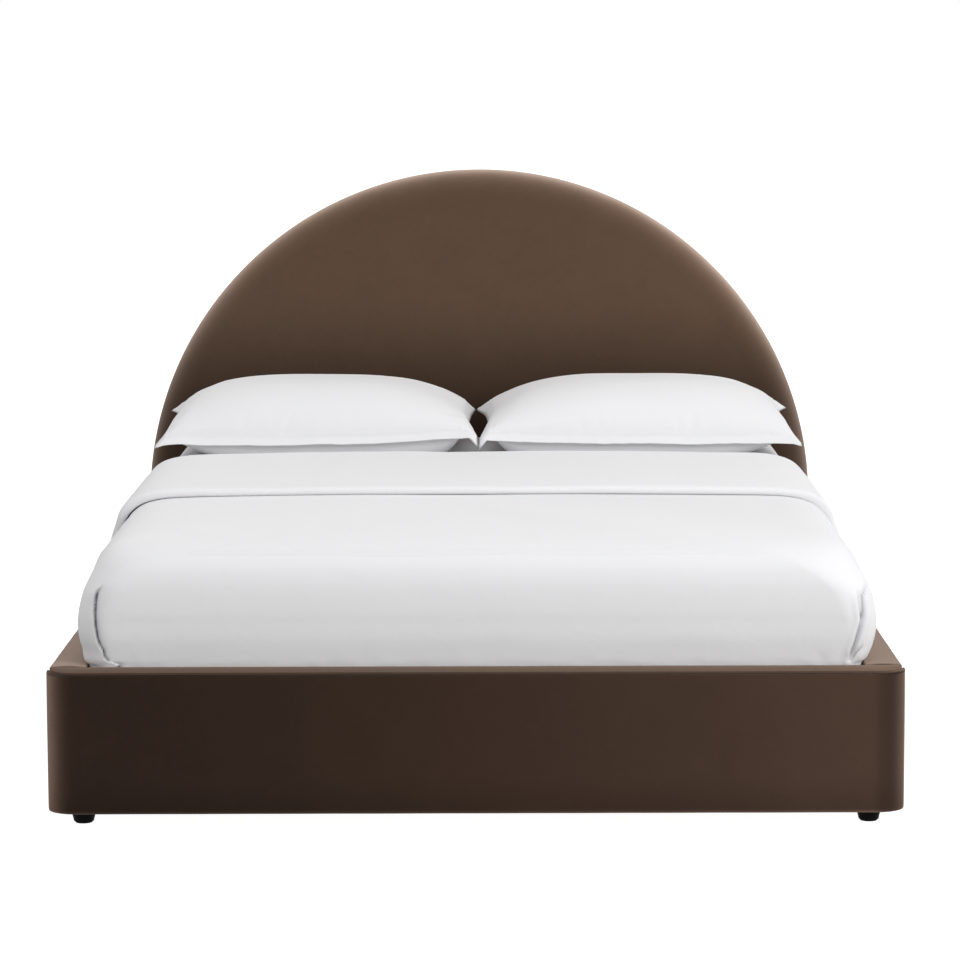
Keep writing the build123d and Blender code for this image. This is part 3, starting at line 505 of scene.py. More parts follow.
# foot panel: painted highlight at its left corner, painted light towards its right end, painted
# shade in the seam under the strip and on the right corner's front
panelVelvet = velvet(
    "panelVelvet", (0.0376, 0.0216, 0.0147), (0.215, 0.142, 0.105), lean=0.80,
    paintedShading=[("X", -0.845, -0.790, 1.45, 1.0), ("X", 0.45, 0.75, 1.0, 1.15), paintedHemShade,
           ("Z", seamZ - 0.0040, seamZ + 0.0004, 1.12, 0.25)],
    corner=(0.784, 0.834, 0.26, -1.092, -1.066))
railVelvet = velvet("railVelvet", (0.046, 0.028, 0.019), (0.23, 0.155, 0.115), shift=3.1,
                    paintedShading=[paintedHemShade])
# foot strip: painted light on its front edge and towards its right end, painted shade in the seam
# at its foot
footStripVelvet = velvet(
    "footStripVelvet", (0.056, 0.036, 0.026), (0.106, 0.069, 0.049), lean=0.275, shift=5.3,
    paintedShading=[("Z", seamZ + 0.0015, boxTop - 0.001, 1.4, 1.0), ("X", 0.66, 0.80, 1.0, 1.2),
           ("Z", seamZ + 0.0005, seamZ + 0.0022, 0.15, 1.0)],
    sheen=(0.185, 0.138, 0.11))
# rail strips: painted light slope along X
railStripVelvet = velvet("railStripVelvet", (0.060, 0.038, 0.027), (0.225, 0.160, 0.127),
                         lean=-0.22, shift=6.1)
# headboard: painted shade lower down by the pillows, painted light towards its right side, and the
# arch's painted highlight band
headboardVelvet = velvet(
    "headboardVelvet", (0.104, 0.063, 0.0415), (0.348, 0.258, 0.207), shift=1.7,
    paintedShading=[("Z", 0.62, 0.94, 0.50, 1.0), ("X", 0.1, 0.6, 1.0, 1.08)],
    archHighlight=(archZ, halfWidth, 0.062, 0.40))
whiteLinen = linen("whiteLinen")
sheetLinen = linen("sheetLinen", (0.78, 0.78, 0.792))
ticking = linen("ticking", (0.72, 0.72, 0.71), threads=1400.0)
softwood = wood("softwood", (0.66, 0.50, 0.33), (0.50, 0.34, 0.20))
crosswood = wood("crosswood", (0.66, 0.50, 0.33), (0.50, 0.34, 0.20), along="X")
uprightwood = wood("uprightwood", (0.64, 0.48, 0.31), (0.48, 0.33, 0.19), along="Z")
slotFinish = {
    "velvet": panelVelvet, "timber": softwood, "mattress_cloth": ticking, "bed_linen": whiteLinen,
    "back_cloth": wovenFinish("backCloth", (0.030, 0.028, 0.027), 1500.0, 0.9),
    "webbing": wovenFinish("webbing", (0.016, 0.016, 0.017), 1800.0, 0.7),
    "board": wood("hardboard", (0.50, 0.36, 0.235), (0.41, 0.285, 0.18), rings=22.0, roughness=0.7),
    "slat_wood": wood("slatBirch", (0.78, 0.62, 0.42), (0.66, 0.48, 0.29), "X", 9.0, 0.45),
    "holder_plastic": plainFinish("holderPlastic", (0.022, 0.022, 0.024), 0.5, (0.10,) * 3, 420.0),
    "foot_plastic": plainFinish("footPlastic", (0.004, 0.004, 0.005), 0.6, (0.010,) * 3, 500.0,
                                specular=0.06),
    "bush_plastic": plainFinish("bushPlastic", (0.62, 0.60, 0.55), 0.45, (0.45, 0.42, 0.38), 300.0),
    "rubber": plainFinish("blackRubber", (0.006,) * 3, 0.85, (0.015,) * 3, 260.0, specular=0.1),
    "black_steel": plainFinish("blackSteel", (0.016, 0.016, 0.018), 0.38, (0.07, 0.07, 0.075),
                               650.0, wear=0.3, **{"Coat Weight": 0.15, "Coat Roughness": 0.3}),
    "zinc_steel": plainFinish("zincSteel", (0.60, 0.61, 0.63), 0.32, (0.45, 0.44, 0.40), 90.0,
                              wear=0.5, Metallic=1.0),
    "rod_steel": plainFinish("rodSteel", (0.70, 0.70, 0.72), 0.14, (0.55, 0.55, 0.56), 40.0,
                             wear=0.15, depth=0.00005, Metallic=1.0),
}
ownFinish = {"foot_panel_frame": crosswood, "foot_ledge": crosswood, "head_ledge": crosswood,
             "headboard_frame": uprightwood}

for entry in frame["record"]["subparts"]:
    finish = ownFinish.get(entry["node"], slotFinish[entry["material_slot"]])
    setMaterial(frame["nodes"][entry["node"]], finish)
print("materials made", len(bpy.data.materials))


# Box upholstery: a closed cover round each rail and the foot panel, and a strip on top

upholstery = {
    "cornerRadius": 0.060, "hemRadius": 0.009, "seamRadius": 0.0055, "seamGap": -0.0007,
    "seamDepth": 0.0125, "seamWidth": 0.012, "faceCrown": 0.0016, "coverInset": 0.0030,
    "footStripInset": 0.0105, "railStripInset": 0.0065, "stripCrown": 0.0022, "stripEdge": 0.0045,
    "lean": 0.0022, "endDraw": 0.0022, "fill": 0.85,
    # the cloth's small waves along the seam and its soft ones over the face: height and length
    "pucker": 0.00035, "puckerPitch": 0.011, "sag": 0.0004, "sagLength": 0.17,
}


def coverProfile():
    # closed loop round a rail as (share of the width, offset, height): up the outer face, over the
    # top just under the strip, down the inner face and back under the bottom
    u = upholstery
    hem, seam, crown = u["hemRadius"], u["seamRadius"], u["faceCrown"]
    angle = np.linspace(0, quarter, 7)
    outerHem = lineOf(0, crown + hem - hem * np.sin(angle), panelFoot + hem - hem * np.cos(angle))
    z = np.linspace(panelFoot + hem + 0.004, seamZ - seam - 0.004, 27)
    share = (z - panelFoot) / (seamZ - panelFoot)
    face = lineOf(0, crown * (1 - np.sin(math.pi * share) ** 0.7) + u["lean"] * share, z)
    angle = np.linspace(0, math.pi * 0.62, 7)
    roll = lineOf(0, crown + u["lean"] + seam - seam * np.cos(angle),
                  seamZ - u["seamGap"] - seam + seam * np.sin(angle))
    deep = u["seamDepth"] + u["lean"]
    top = lineOf([0, 0, 0.25, 0.5, 0.75], [deep, deep + 0.003, 0, 0, 0], seamZ + 0.0002)
    innerTop = lineOf(1, [-0.004, -0.0006], [seamZ + 0.0001, seamZ - 0.0025])
    innerFace = lineOf(1, 0, np.linspace(seamZ - 0.012, panelFoot + 0.010, 12))
    innerHem = lineOf(1, [-0.0012, -0.004], [panelFoot + 0.004, panelFoot + 0.0012])
    under = lineOf([0.8, 0.5, 0.25], 0, panelFoot + 0.0002)
    return np.vstack([outerHem, face, roll, top, innerTop, innerFace, innerHem, under])


def stripProfile():
    # closed loop of the top strip: flat below, rolled edges and a low crown between them
    edge, seat = upholstery["stripEdge"], seamZ + 0.0004
    angle = np.linspace(-0.5, quarter, 8)
    outer = lineOf(0, edge - edge * np.cos(angle), boxTop - edge + edge * np.sin(angle))
    share = np.linspace(0, 1, 22)[1:-1]
    crown = upholstery["stripCrown"] * np.sin(math.pi * share) ** 0.8 - 0.0003
    top = lineOf(0.07 + 0.86 * share, 0, boxTop + crown)
    angle = np.linspace(quarter, 0, 6)
    inner = lineOf(1, edge * np.cos(angle) - edge, boxTop - edge + edge * np.sin(angle))
    base = lineOf([1, 0.75, 0.5, 0.25, 0], [-0.001, 0, 0, 0, 0.004], seat)
    return np.vstack([outer, top, inner, base])


def carried(outer, inner, profile, noiseSeed):
    # profile points between an outer and an inner line; offsets shrink where the two lines come
    # together
    across = inner - outer
    width = np.linalg.norm(across, axis=1, keepdims=True)
    unit = across / np.maximum(width, 1e-6) * np.minimum(1, width / (halfWidth - railInner))
    share, offset, z = profile.T
    flat = outer[:, None] + across[:, None] * share[None, :, None]
    length = distances(outer)[:, None]
    pitch = softNoise(length, z[None], upholstery["puckerPitch"], noiseSeed)
    pitch = pitch * (bump(z, seamZ, upholstery["seamWidth"]) * (share < 0.05))[None]
    soft = softNoise(length, z[None], upholstery["sagLength"], noiseSeed + 1) * (share == 0)[None]
    push = upholstery["pucker"] * pitch + upholstery["sag"] * soft
    flat = flat + unit[:, None] * (offset[None] - push)[..., None]
    return np.concatenate([flat, np.broadcast_to(z, flat.shape[:2])[..., None]], -1)


def panelLines(inset):
    # outer line of the foot panel round both corners and the inner line behind it, point for point
    r = upholstery["cornerRadius"] - inset
    half, face = halfWidth - inset, footFace + inset
    straight = half - r
    turn = np.linspace(0, quarter, 26)
    xs = np.linspace(-straight, straight, 151)[1:-1]
    side = lineOf([-half + 0.0012, -half, -half], footInner - np.array([0.0012, 0.006, 0.013]))
    left = np.vstack([side, lineOf(-straight - r * np.cos(turn), face + r - r * np.sin(turn))])
    outer = np.vstack([left, lineOf(xs, face), left[::-1] * [-1, 1]])
    near = 0.0012 - half + np.linspace(0, 1, len(left)) ** 1.3 * (r - 0.0012)
    inner = lineOf(np.concatenate([near, xs, -near[::-1]]), footInner)
    inner[0], inner[-1] = outer[0], outer[-1]
    return outer, inner


def boxPiece(name, rings, node, material):
    piece = faceOutwards(makePiece(name, [(rings, False)], wrap=True))
    dress(piece, material, "bed_base", node)


lines = panelLines(upholstery["coverInset"])
boxPiece("footPanelCover", carried(*lines, coverProfile(), 11), "foot_panel_cover", panelVelvet)
lines = panelLines(upholstery["footStripInset"])
boxPiece("footPanelStrip", carried(*lines, stripProfile(), 12), "foot_panel_strip", footStripVelvet)
for side, label in ((1, "right"), (-1, "left")):
    stops = [footInner + 0.0006, footInner + 0.006, headFace - 0.006, headFace - 0.0002]
    ys = spread(stops, [3, 170, 3])
    ends = smoothStep(ys, footInner, footInner + 0.005)
    ends = ends * smoothStep(-ys, -headFace, -headFace + 0.005)
    drawn = upholstery["endDraw"] * (1 - ends)
    inner = lineOf(side * railInner, ys)
    outer = lineOf(side * (halfWidth - drawn - upholstery["coverInset"]), ys)
    cover = capped(carried(outer, inner, coverProfile(), 21 + side))
    outer = lineOf(side * (halfWidth - drawn - upholstery["railStripInset"]), ys)
    strip = carried(outer, inner, stripProfile(), 31 + side)
    strip[..., 2] -= drawn[:, None] * smoothStep(strip[..., 2], seamZ + 0.002, boxTop)
    boxPiece(label + "RailCover", cover, label + "_rail_cover", railVelvet)
    boxPiece(label + "RailStrip", capped(strip), label + "_rail_strip", railStripVelvet)
print("box upholstery made")


# Headboard padding: front face, rim and back return in one closed form

headboard = {
    "rimWidth": 0.076, "rimDepth": 0.042, "backEdge": 0.010, "faceCrown": 0.0025,
    "backInset": 0.0262, "backStep": 0.0024, "bottom": 0.0285, "softness": 0.0008, "fill": 0.9,
}


def archRing(inset, y):
    # outline of the headboard drawn in by the inset: up one side, round the half circle, down the
    # other
    radius = halfWidth - inset
    rise = np.linspace(headboard["bottom"], archZ, 22)[:-1]
    turn = np.linspace(math.pi, 0, 221)
    x = np.concatenate([-radius + 0 * rise, radius * np.cos(turn), radius + 0 * rise])
    return lineOf(x, y, np.concatenate([rise, archZ + radius * np.sin(turn), rise[::-1]]))


def headboardPadding():
    # rings from the middle of the face out, over the rim, back along the side and in over the back
    h = headboard
    rim, edge, crown = h["rimWidth"], h["backEdge"], h["faceCrown"]
    angle = np.linspace(0, quarter, 15)
    rimIn, rimY = rim * (1 - np.cos(angle)), headFace + h["rimDepth"] * (1 - np.sin(angle)) + crown
    faceIn = spread([rim, 0.12, 0.3, halfWidth], [5, 12, 26])[1:]
    faceY = headFace + crown * (1 - smoothStep(faceIn, rim, 0.2))
    sideY = np.linspace(headFace + h["rimDepth"] + crown, headBack - edge, 6)[1:]
    angle = np.linspace(0, quarter, 7)[1:]
    backIn, backY = edge * (1 - np.cos(angle)), headBack - edge * (1 - np.sin(angle))
    stepIn = [h["backInset"] - 0.001, h["backInset"]]
    stepY = [headBack, headBack - h["backStep"]]
    innerIn = spread([h["backInset"] + 0.01, 0.12, 0.4, halfWidth], [4, 8, 14])
    insets = np.concatenate([faceIn[::-1], rimIn[::-1], 0 * sideY, backIn, stepIn, innerIn])
    places = np.concatenate([faceY[::-1], rimY[::-1], sideY, backY, stepY, 0 * innerIn + stepY[1]])
    points = np.array([archRing(*ring) for ring in zip(insets, places)])
    x, y, z = np.moveaxis(points, -1, 0)
    soft = softNoise(x, z, 0.45, 51) + 0.4 * softNoise(x, z, 0.12, 52)
    points[..., 1] += h["softness"] * soft * smoothStep(-y, -(headFace + 0.04), -(headFace + 0.004))
    return points


def closeHoles(work):
    # fills what is open, as the flat foot of the headboard, with faces between its edges
    bmesh.ops.holes_fill(work, edges=[edge for edge in work.edges if edge.is_boundary], sides=0)
    bmesh.ops.triangulate(work, faces=[face for face in work.faces if len(face.verts) > 4])
    bmesh.ops.recalc_face_normals(work, faces=work.faces)


padding = makePiece("headboardPadding", [(headboardPadding(), False)], merge=2e-5)
reshape(padding.data, closeHoles)
faceOutwards(padding)
dress(padding, headboardVelvet, "bed_base", "headboard_padding")
print("headboard made")


# Mattress and fitted sheet

mattress = {
    "corner": 0.080, "shoulder": 0.058, "tapeRadius": 0.004, "tapeInset": 0.0045, "channel": 0.0027,
    "sheetCorner": 0.0815, "sheetShoulder": 0.0595, "sheetThickness": 0.0006, "gather": 0.0022,
    "sheetDraw": 0.0008,
    # how far it sinks at its foot corners, and stands up between and beside the pillows
    "cornerDip": 0.021, "middleRidge": 0.013, "sideRidge": 0.014,
}


def roundedRings(lo, hi, insets, heights, radius, count):
    # rounded rectangles drawn in by the insets, one at each height, from the middle of the foot
    # side round
    rings = []
    middle = (lo[1] + hi[1]) / 2
    turn = np.linspace(0, quarter, count[2])
    for inset, z in zip(insets, heights):
        hx = max(hi[0] - inset, 1e-6)
        lowY, highY = min(lo[1] + inset, middle - 1e-6), max(hi[1] - inset, middle + 1e-6)
        r = max(min(radius, hx, (highY - lowY) / 2), 1e-6)
        cos, sin = r * np.cos(turn), r * np.sin(turn)
        xs = np.linspace(r - hx, hx - r, count[0])[1:-1]
        ys = np.linspace(lowY + r, highY - r, count[1])[1:-1]
        outline = np.vstack([
            lineOf(xs, lowY), lineOf(hx - r + sin, lowY + r - cos), lineOf(hx, ys),
            lineOf(hx - r + cos, highY - r + sin), lineOf(xs[::-1], highY),
            lineOf(r - hx - sin, highY - r + cos), lineOf(-hx, ys[::-1]),
            lineOf(r - hx - cos, lowY + r - sin)])
        rings.append(lineOf(*outline.T, z))
    return np.array(rings)


def softTop(rings):
    # how far the mattress sinks at its two foot corners, under the duvet, and stands up beside the
    # pillows
    x, y, z = np.abs(rings[..., 0]), rings[..., 1], rings[..., 2]
    dip = mattress["cornerDip"] * smoothStep(x, 0.56, 0.745) * smoothStep(-y, 0.80, 0.99)
    ridge = mattress["middleRidge"] * (1 - smoothStep(x, 0.02, 0.13))
    ridge = ridge + mattress["sideRidge"] * smoothStep(x, 0.62, 0.70)
    lift = ridge * smoothStep(y, 0.455, 0.53) - dip
    return lift * smoothStep(z, sheetTop - 0.16, sheetTop - 0.01)


def makeMattress():
    # rings from the middle of the bottom over a taped edge, up the channelled side and in over the
    # top
    lo, hi = low("mattress"), high("mattress")
    r, tape = mattress["shoulder"], mattress["tapeRadius"]
    bottomIn = np.concatenate([spread([hi[0], 0.3, 0.03], [10, 8]), [0.018, 0.010]])
    bottomZ = lo[2] + np.concatenate([0 * bottomIn[:-2], [0.0005, 0.0025]])
    tapeAngle = np.linspace(-1.2, 1.4, 6)
    sideZ = np.linspace(lo[2] + 0.018, hi[2] - r, 26)
    share = (sideZ - sideZ[0]) / (sideZ[-1] - sideZ[0])
    channel = mattress["channel"] * np.abs(np.cos(share * math.pi * 3)) ** 6
    sideIn = 0.0055 - 0.005 * np.sin(math.pi * share) ** 0.5 + channel
    angle = np.linspace(0, quarter, 9)[1:]
    topIn = spread([0.08, 0.3, hi[0]], [6, 12])
    insets = np.concatenate([bottomIn, mattress["tapeInset"] - tape * np.cos(tapeAngle), sideIn,
                             0.002 + r * (1 - np.cos(angle)), topIn])
    heights = np.concatenate([bottomZ, lo[2] + 0.0085 + tape * np.sin(tapeAngle), sideZ,
                              hi[2] - r + r * np.sin(angle), hi[2] + 0 * topIn])
    rings = roundedRings(lo, hi, insets, heights, mattress["corner"], (40, 50, 12))
    rings[..., 2] += softTop(rings)
    piece = faceOutwards(makePiece("mattressBody", [(rings, False)], wrap=True, merge=2e-5))
    dress(piece, ticking, "platform", "mattress")


def makeSheet():
    # fitted sheet: over the top and down the sides, gathered a little at its elastic hem
    lo, hi = low("fitted_sheet"), high("fitted_sheet")
    r = mattress["sheetShoulder"]
    angle = np.linspace(0, quarter, 10)[1:]
    sideZ = np.linspace(lo[2], hi[2] - r, 22)
    insets = np.concatenate([0 * sideZ, r * (1 - np.cos(angle)),
                             spread([0.075, 0.3, hi[0]], [8, 16])])
    heights = np.concatenate([sideZ, hi[2] - r + r * np.sin(angle), np.full(25, hi[2] - 0.0002)])
    rings = roundedRings(lo, hi, insets, heights, mattress["sheetCorner"], (90, 110, 14))
    hem = 1 - smoothStep(rings[..., 2], lo[2], lo[2] + 0.05)
    gather = mattress["gather"] * softNoise(distances(rings[0])[None], 0 * hem, 0.045, 61)
    outward = rings[..., :2] - [0, (lo[1] + hi[1]) / 2]
    outward = outward / np.maximum(np.linalg.norm(outward, axis=2, keepdims=True), 1e-6)
    rings[..., :2] += outward * (gather * hem - mattress["sheetDraw"])[..., None]
    rings[..., 2] += softTop(rings)
    piece = makePiece("fittedSheet", [(rings, False)], wrap=True, merge=2e-5)
    addThickness(piece, "cloth", mattress["sheetThickness"])
    return dress(piece, sheetLinen, "platform", node="fitted_sheet")


# Duvet

duvet = {
    "half": 0.800, "foot": -1.037, "head": 0.450, "thickness": 0.016, "fill": 0.5,
    # across a side: inset from the widest place and height, from the tucked edge up to the top
    "sideSection": [
        (0.023, 0.262), (0.023, 0.300), (0.0215, 0.3125), (0.0125, 0.3215), (0.005, 0.343),
        (-0.002, 0.368), (-0.0045, 0.393), (-0.002, 0.420), (0.0045, 0.452), (0.0155, 0.487),
        (0.032, 0.518), (0.062, 0.5405), (0.110, 0.5515), (0.180, 0.5545)],
    # the same along the foot end
    "footSection": [
        (0.006, 0.262), (0.005, 0.296), (0.004, 0.312), (0.003, 0.322), (0.002, 0.340),
        (0.000, 0.370), (0.000, 0.400), (0.000, 0.425), (0.003, 0.462), (0.009, 0.489),
        (0.020, 0.512), (0.040, 0.530), (0.076, 0.5435), (0.150, 0.551)],
    "cornerRadius": [0.045, 0.046, 0.047, 0.050, 0.058, 0.064, 0.070, 0.077, 0.088, 0.103,
                     0.120, 0.140, 0.160, 0.185],
    "crown": 0.0045, "footCrown": 0.0035, "cornerPull": 0.010, "sideShift": 0.004,
    # heights of the soft waves
    "sideWaves": (0.0020, 0.0006), "topWaves": 0.0009, "frontWaves": 0.0007, "hemWaves": 0.0016,
    # left foot corner: the edge of a pleat, as place from the middle and height
    "pleat": [
        (0.718, 0.318), (0.738, 0.325), (0.7452, 0.3325), (0.748, 0.347), (0.7548, 0.358),
        (0.7594, 0.372), (0.7633, 0.395), (0.7651, 0.423), (0.7639, 0.448), (0.7616, 0.460),
        (0.7548, 0.467), (0.7500, 0.474)],
    "pleatRise": 0.0055, "pleatDip": 0.0095, "pleatEdge": 0.0010, "pleatOver": 0.0035,
    # how far from its edge the pleat's rise and its two dips die away
    "riseReach": 0.050, "longDip": 0.02, "shortDip": 0.0035,
    # painted shade: how dark the line of the pleat and of a crease is, and the cloth beside them
    "pleatShade": (0.80, 0.16), "creaseShade": (0.42, 0.10),
    # right foot corner: creases that meet in one place; each has its depth and width
    "creases": [
        ([(0.7560, 0.480), (0.7635, 0.4627), (0.7669, 0.450), (0.7741, 0.4033), (0.7687, 0.3836),
          (0.7616, 0.3603), (0.7526, 0.3351), (0.7490, 0.322)], 0.0085, 0.0038),
        ([(0.797, 0.474), (0.7904, 0.4643), (0.7759, 0.4482), (0.7777, 0.4194), (0.7741, 0.4033)],
         0.0055, 0.0045),
        ([(0.7790, 0.353), (0.7741, 0.3476), (0.7616, 0.3369), (0.7544, 0.3224)], 0.0026, 0.0050)],
}


def duvetRings():
    # rows from the tuck to the middle of the top; each is a U round the foot end, from the left
    # head corner along the left side, round the foot and back along the right side
    half, rows = duvet["half"], 78
    more = np.linspace(0, 1, 35)[1:]

    def section(points):
        # insets and heights of a section, carried on to the middle of the bed
        inset, z = curveThrough(points, rows).T
        flat = inset[-1] + (half - inset[-1]) * more
        return np.append(inset, flat), np.append(z, z[-1] + 0 * more)

    sideIn, sideZ = section(duvet["sideSection"])
    footIn, footZ = section(duvet["footSection"])
    footZ[rows:] += duvet["footCrown"] * smoothStep(more, -0.2, 0.6)
    radius = curveThrough([(r, 0) for r in duvet["cornerRadius"]], rows)[:, 0]
    radius = np.append(radius, radius[-1] + 0 * more)
    turn = spread([0, 0.3, 0.8, 1.35, quarter], [9, 20, 40, 7])
    reach = spread([0, 0.04, 0.12, 0.5], [12, 8, 22])
    reach = np.concatenate([reach, 1 - reach[::-1][1:]])[1:-1]
    # how far a point belongs to the side, 1, or to the foot end, 0
    sideness = np.append(np.ones(65), smoothStep(1 - turn / quarter, 0, 1))
    sideness = np.concatenate([sideness, 0 * reach, sideness[::-1]])
    rings = []
    for k, inset in enumerate(sideIn):
        hx = max(half - inset, 1e-6)
        y0 = duvet["foot"] + footIn[k]
        r = min(radius[k], hx)
        left = lineOf(-hx, np.linspace(duvet["head"], y0 + r, 66)[:-1])
        left = np.vstack([left, lineOf(r - hx - r * np.cos(turn), y0 + r - r * np.sin(turn))])
        outline = np.vstack([left, lineOf((2 * reach - 1) * (hx - r), y0), left[::-1] * [-1, 1]])
        rings.append(lineOf(*outline.T, footZ[k] * (1 - sideness) + sideZ[k] * sideness))
    rings = np.array(rings)
    inset = np.broadcast_to(sideIn[:, None], rings.shape[:2])
    rings[..., 2] += duvet["crown"] * smoothStep(inset, 0.05, 0.6)
    x, y, z = np.moveaxis(rings, -1, 0)
    pull = duvet["cornerPull"] * smoothStep(-y, 0.80, 0.97) * bump(z, 0.512, 0.030)
    rings[..., 0] -= np.sign(x) * pull * smoothStep(np.abs(x), 0.60, 0.75)
    rings[..., 0] += duvet["sideShift"] * between(z, 0.316, 0.345, 0.44, 0.52)
    return rings, inset


def outwardOf(rings):
    # unit normals of a grid of points, from its row and column directions
    normal = np.cross(np.gradient(rings, axis=1), np.gradient(rings, axis=0))
    return normal / np.maximum(np.linalg.norm(normal, axis=2, keepdims=True), 1e-12)


def distanceTo(line, x, z):
    # shortest distance from each point to a line through places, and the share of the line where it
    # lies
    points = np.array(line, float)
    best = np.full(x.shape, 1e9)
    share = np.zeros(x.shape)
    for k, (a, b) in enumerate(zip(points[:-1], points[1:])):
        way = b - a
        t = np.clip(((x - a[0]) * way[0] + (z - a[1]) * way[1]) / (way @ way), 0, 1)
        d = np.hypot(x - a[0] - t * way[0], z - a[1] - t * way[1])
        share = np.where(d < best, (k + t) / (len(points) - 1), share)
        best = np.minimum(best, d)
    return best, share


def foldPush(rings):
    # for each point of the duvet, by the folds at its foot corners: how far it is pushed out, how
    # far the pleat's edge lies over its own fold, and how much painted shade it gets inside a fold
    x, y, z = np.moveaxis(rings, -1, 0)
    around = np.abs(x) + np.maximum(0, y - (duvet["foot"] + 0.07))
    near = 1 - smoothStep(y, duvet["foot"] + 0.10, duvet["foot"] + 0.30)
    left, right = near * (x < 0), near * (x > 0)
    place, height = np.array(duvet["pleat"]).T
    past = around - np.interp(z, height, place)
    beyond, before, edge = np.maximum(past, 0), np.maximum(-past, 0), duvet["pleatEdge"]
    fade = between(z, 0.298, 0.308, 0.452, 0.480) * left
    rise = smoothStep(past, -edge, edge)
    push = duvet["pleatRise"] * rise * np.exp(-beyond / duvet["riseReach"])
    dip = 0.3 * np.exp(-before / duvet["longDip"]) + 0.7 * np.exp(-before / duvet["shortDip"])
    push = (push - duvet["pleatDip"] * (1 - rise) * dip) * fade
    over = duvet["pleatOver"] * fade * smoothStep(past, -0.6 * edge, edge) * np.exp(-beyond / 0.007)
    # painted shade along the pleat's line and on the cloth just beside it
    line, beside = duvet["pleatShade"]
    beside = beside * np.exp(-before / 0.006) * (past < 0)
    dark = fade * (line * bump(past, -0.0003, 0.0013) + beside)
    line, beside = duvet["creaseShade"]
    for crease, depth, width in duvet["creases"]:
        away, share = distanceTo(crease, around, z)
        deep = smoothStep(share, 0.05, 0.45) * (1 - 0.6 * smoothStep(share, 0.8, 1.0))
        dent = 0.30 * bump(away, 2.6 * width, 1.6 * width) - bump(away, 0, width)
        push += right * depth * deep * dent
        deep = right * smoothStep(share, 0.15, 0.55) * (1 - 0.5 * smoothStep(share, 0.85, 1.0))
        # painted shade along each crease
        shade = line * bump(away, 0, 0.0021) + beside * bump(away, 0, 0.009)
        dark = np.maximum(dark, deep * shade)
    return push, over, np.clip(dark, 0, 0.9)


def makeDuvet():
    # the U-shaped rows, pushed out along their normals by the folds and by soft noise on the sides,
    # the top, the front and the hem
    rings, inset = duvetRings()
    x, y, z = np.moveaxis(rings, -1, 0)
    flat = smoothStep(inset, 0.10, 0.18)[..., None]
    normal = outwardOf(rings) * (1 - flat) + np.array([0, 0, 1.0]) * flat
    push, over, dark = foldPush(rings)
    sides = smoothStep(np.abs(x), 0.70, 0.79) * between(z, 0.33, 0.37, 0.50, 0.545)
    long, short = duvet["sideWaves"]
    waves = long * softNoise(y, z * 0.3, 0.26, 71) + short * softNoise(y, z, 0.07, 74)
    push += sides * smoothStep(y, -0.96, -0.75) * waves
    push += duvet["topWaves"] * softNoise(x, y, 0.40, 72) * smoothStep(inset, 0.06, 0.2)
    front = (1 - smoothStep(y, -1.03, -0.98)) * smoothStep(z, 0.34, 0.38)
    front = front * (1 - smoothStep(np.abs(x), 0.62, 0.72))
    push += duvet["frontWaves"] * softNoise(x, z * 0.5, 0.35, 73) * front
    hem = between(z, 0.300, 0.318, 0.318, 0.345) * (1 - smoothStep(-x, 0.66, 0.72))
    push += duvet["hemWaves"] * softNoise(np.abs(x) + y, z, 0.05, 75) * hem
    rings = rings + normal * push[..., None]
    rings[..., 0] += over
    rings[..., 1] -= 0.4 * over
    # the painted fold shade goes to the linen as a mark on each point
    piece = makePiece("duvet", [(rings, True)], merge=2e-5, shadeMarks=dark)
    reshape(piece.data, lambda work: bmesh.ops.recalc_face_normals(work, faces=work.faces))
    centre = Vector((0, -0.4, 0.58))
    middle = min(piece.data.polygons, key=lambda face: (face.center - centre).length)
    if middle.normal.z < 0:
        piece.data.flip_normals()
    addThickness(piece, "filling", duvet["thickness"])
    dress(piece, whiteLinen, "platform", "duvet")


cuff = {
    "foot": -0.250, "head": 0.454, "thickness": 0.0175, "sideLow": 0.392, "shift": -0.0045,
    "shoulderSwell": 0.0060, "shoulderZ": 0.525, "shoulderWidth": 0.024, "hemWidth": 0.03,
    "hemThin": 0.38, "edgeWave": 0.0040, "waves": (0.0010, 0.0004),
}


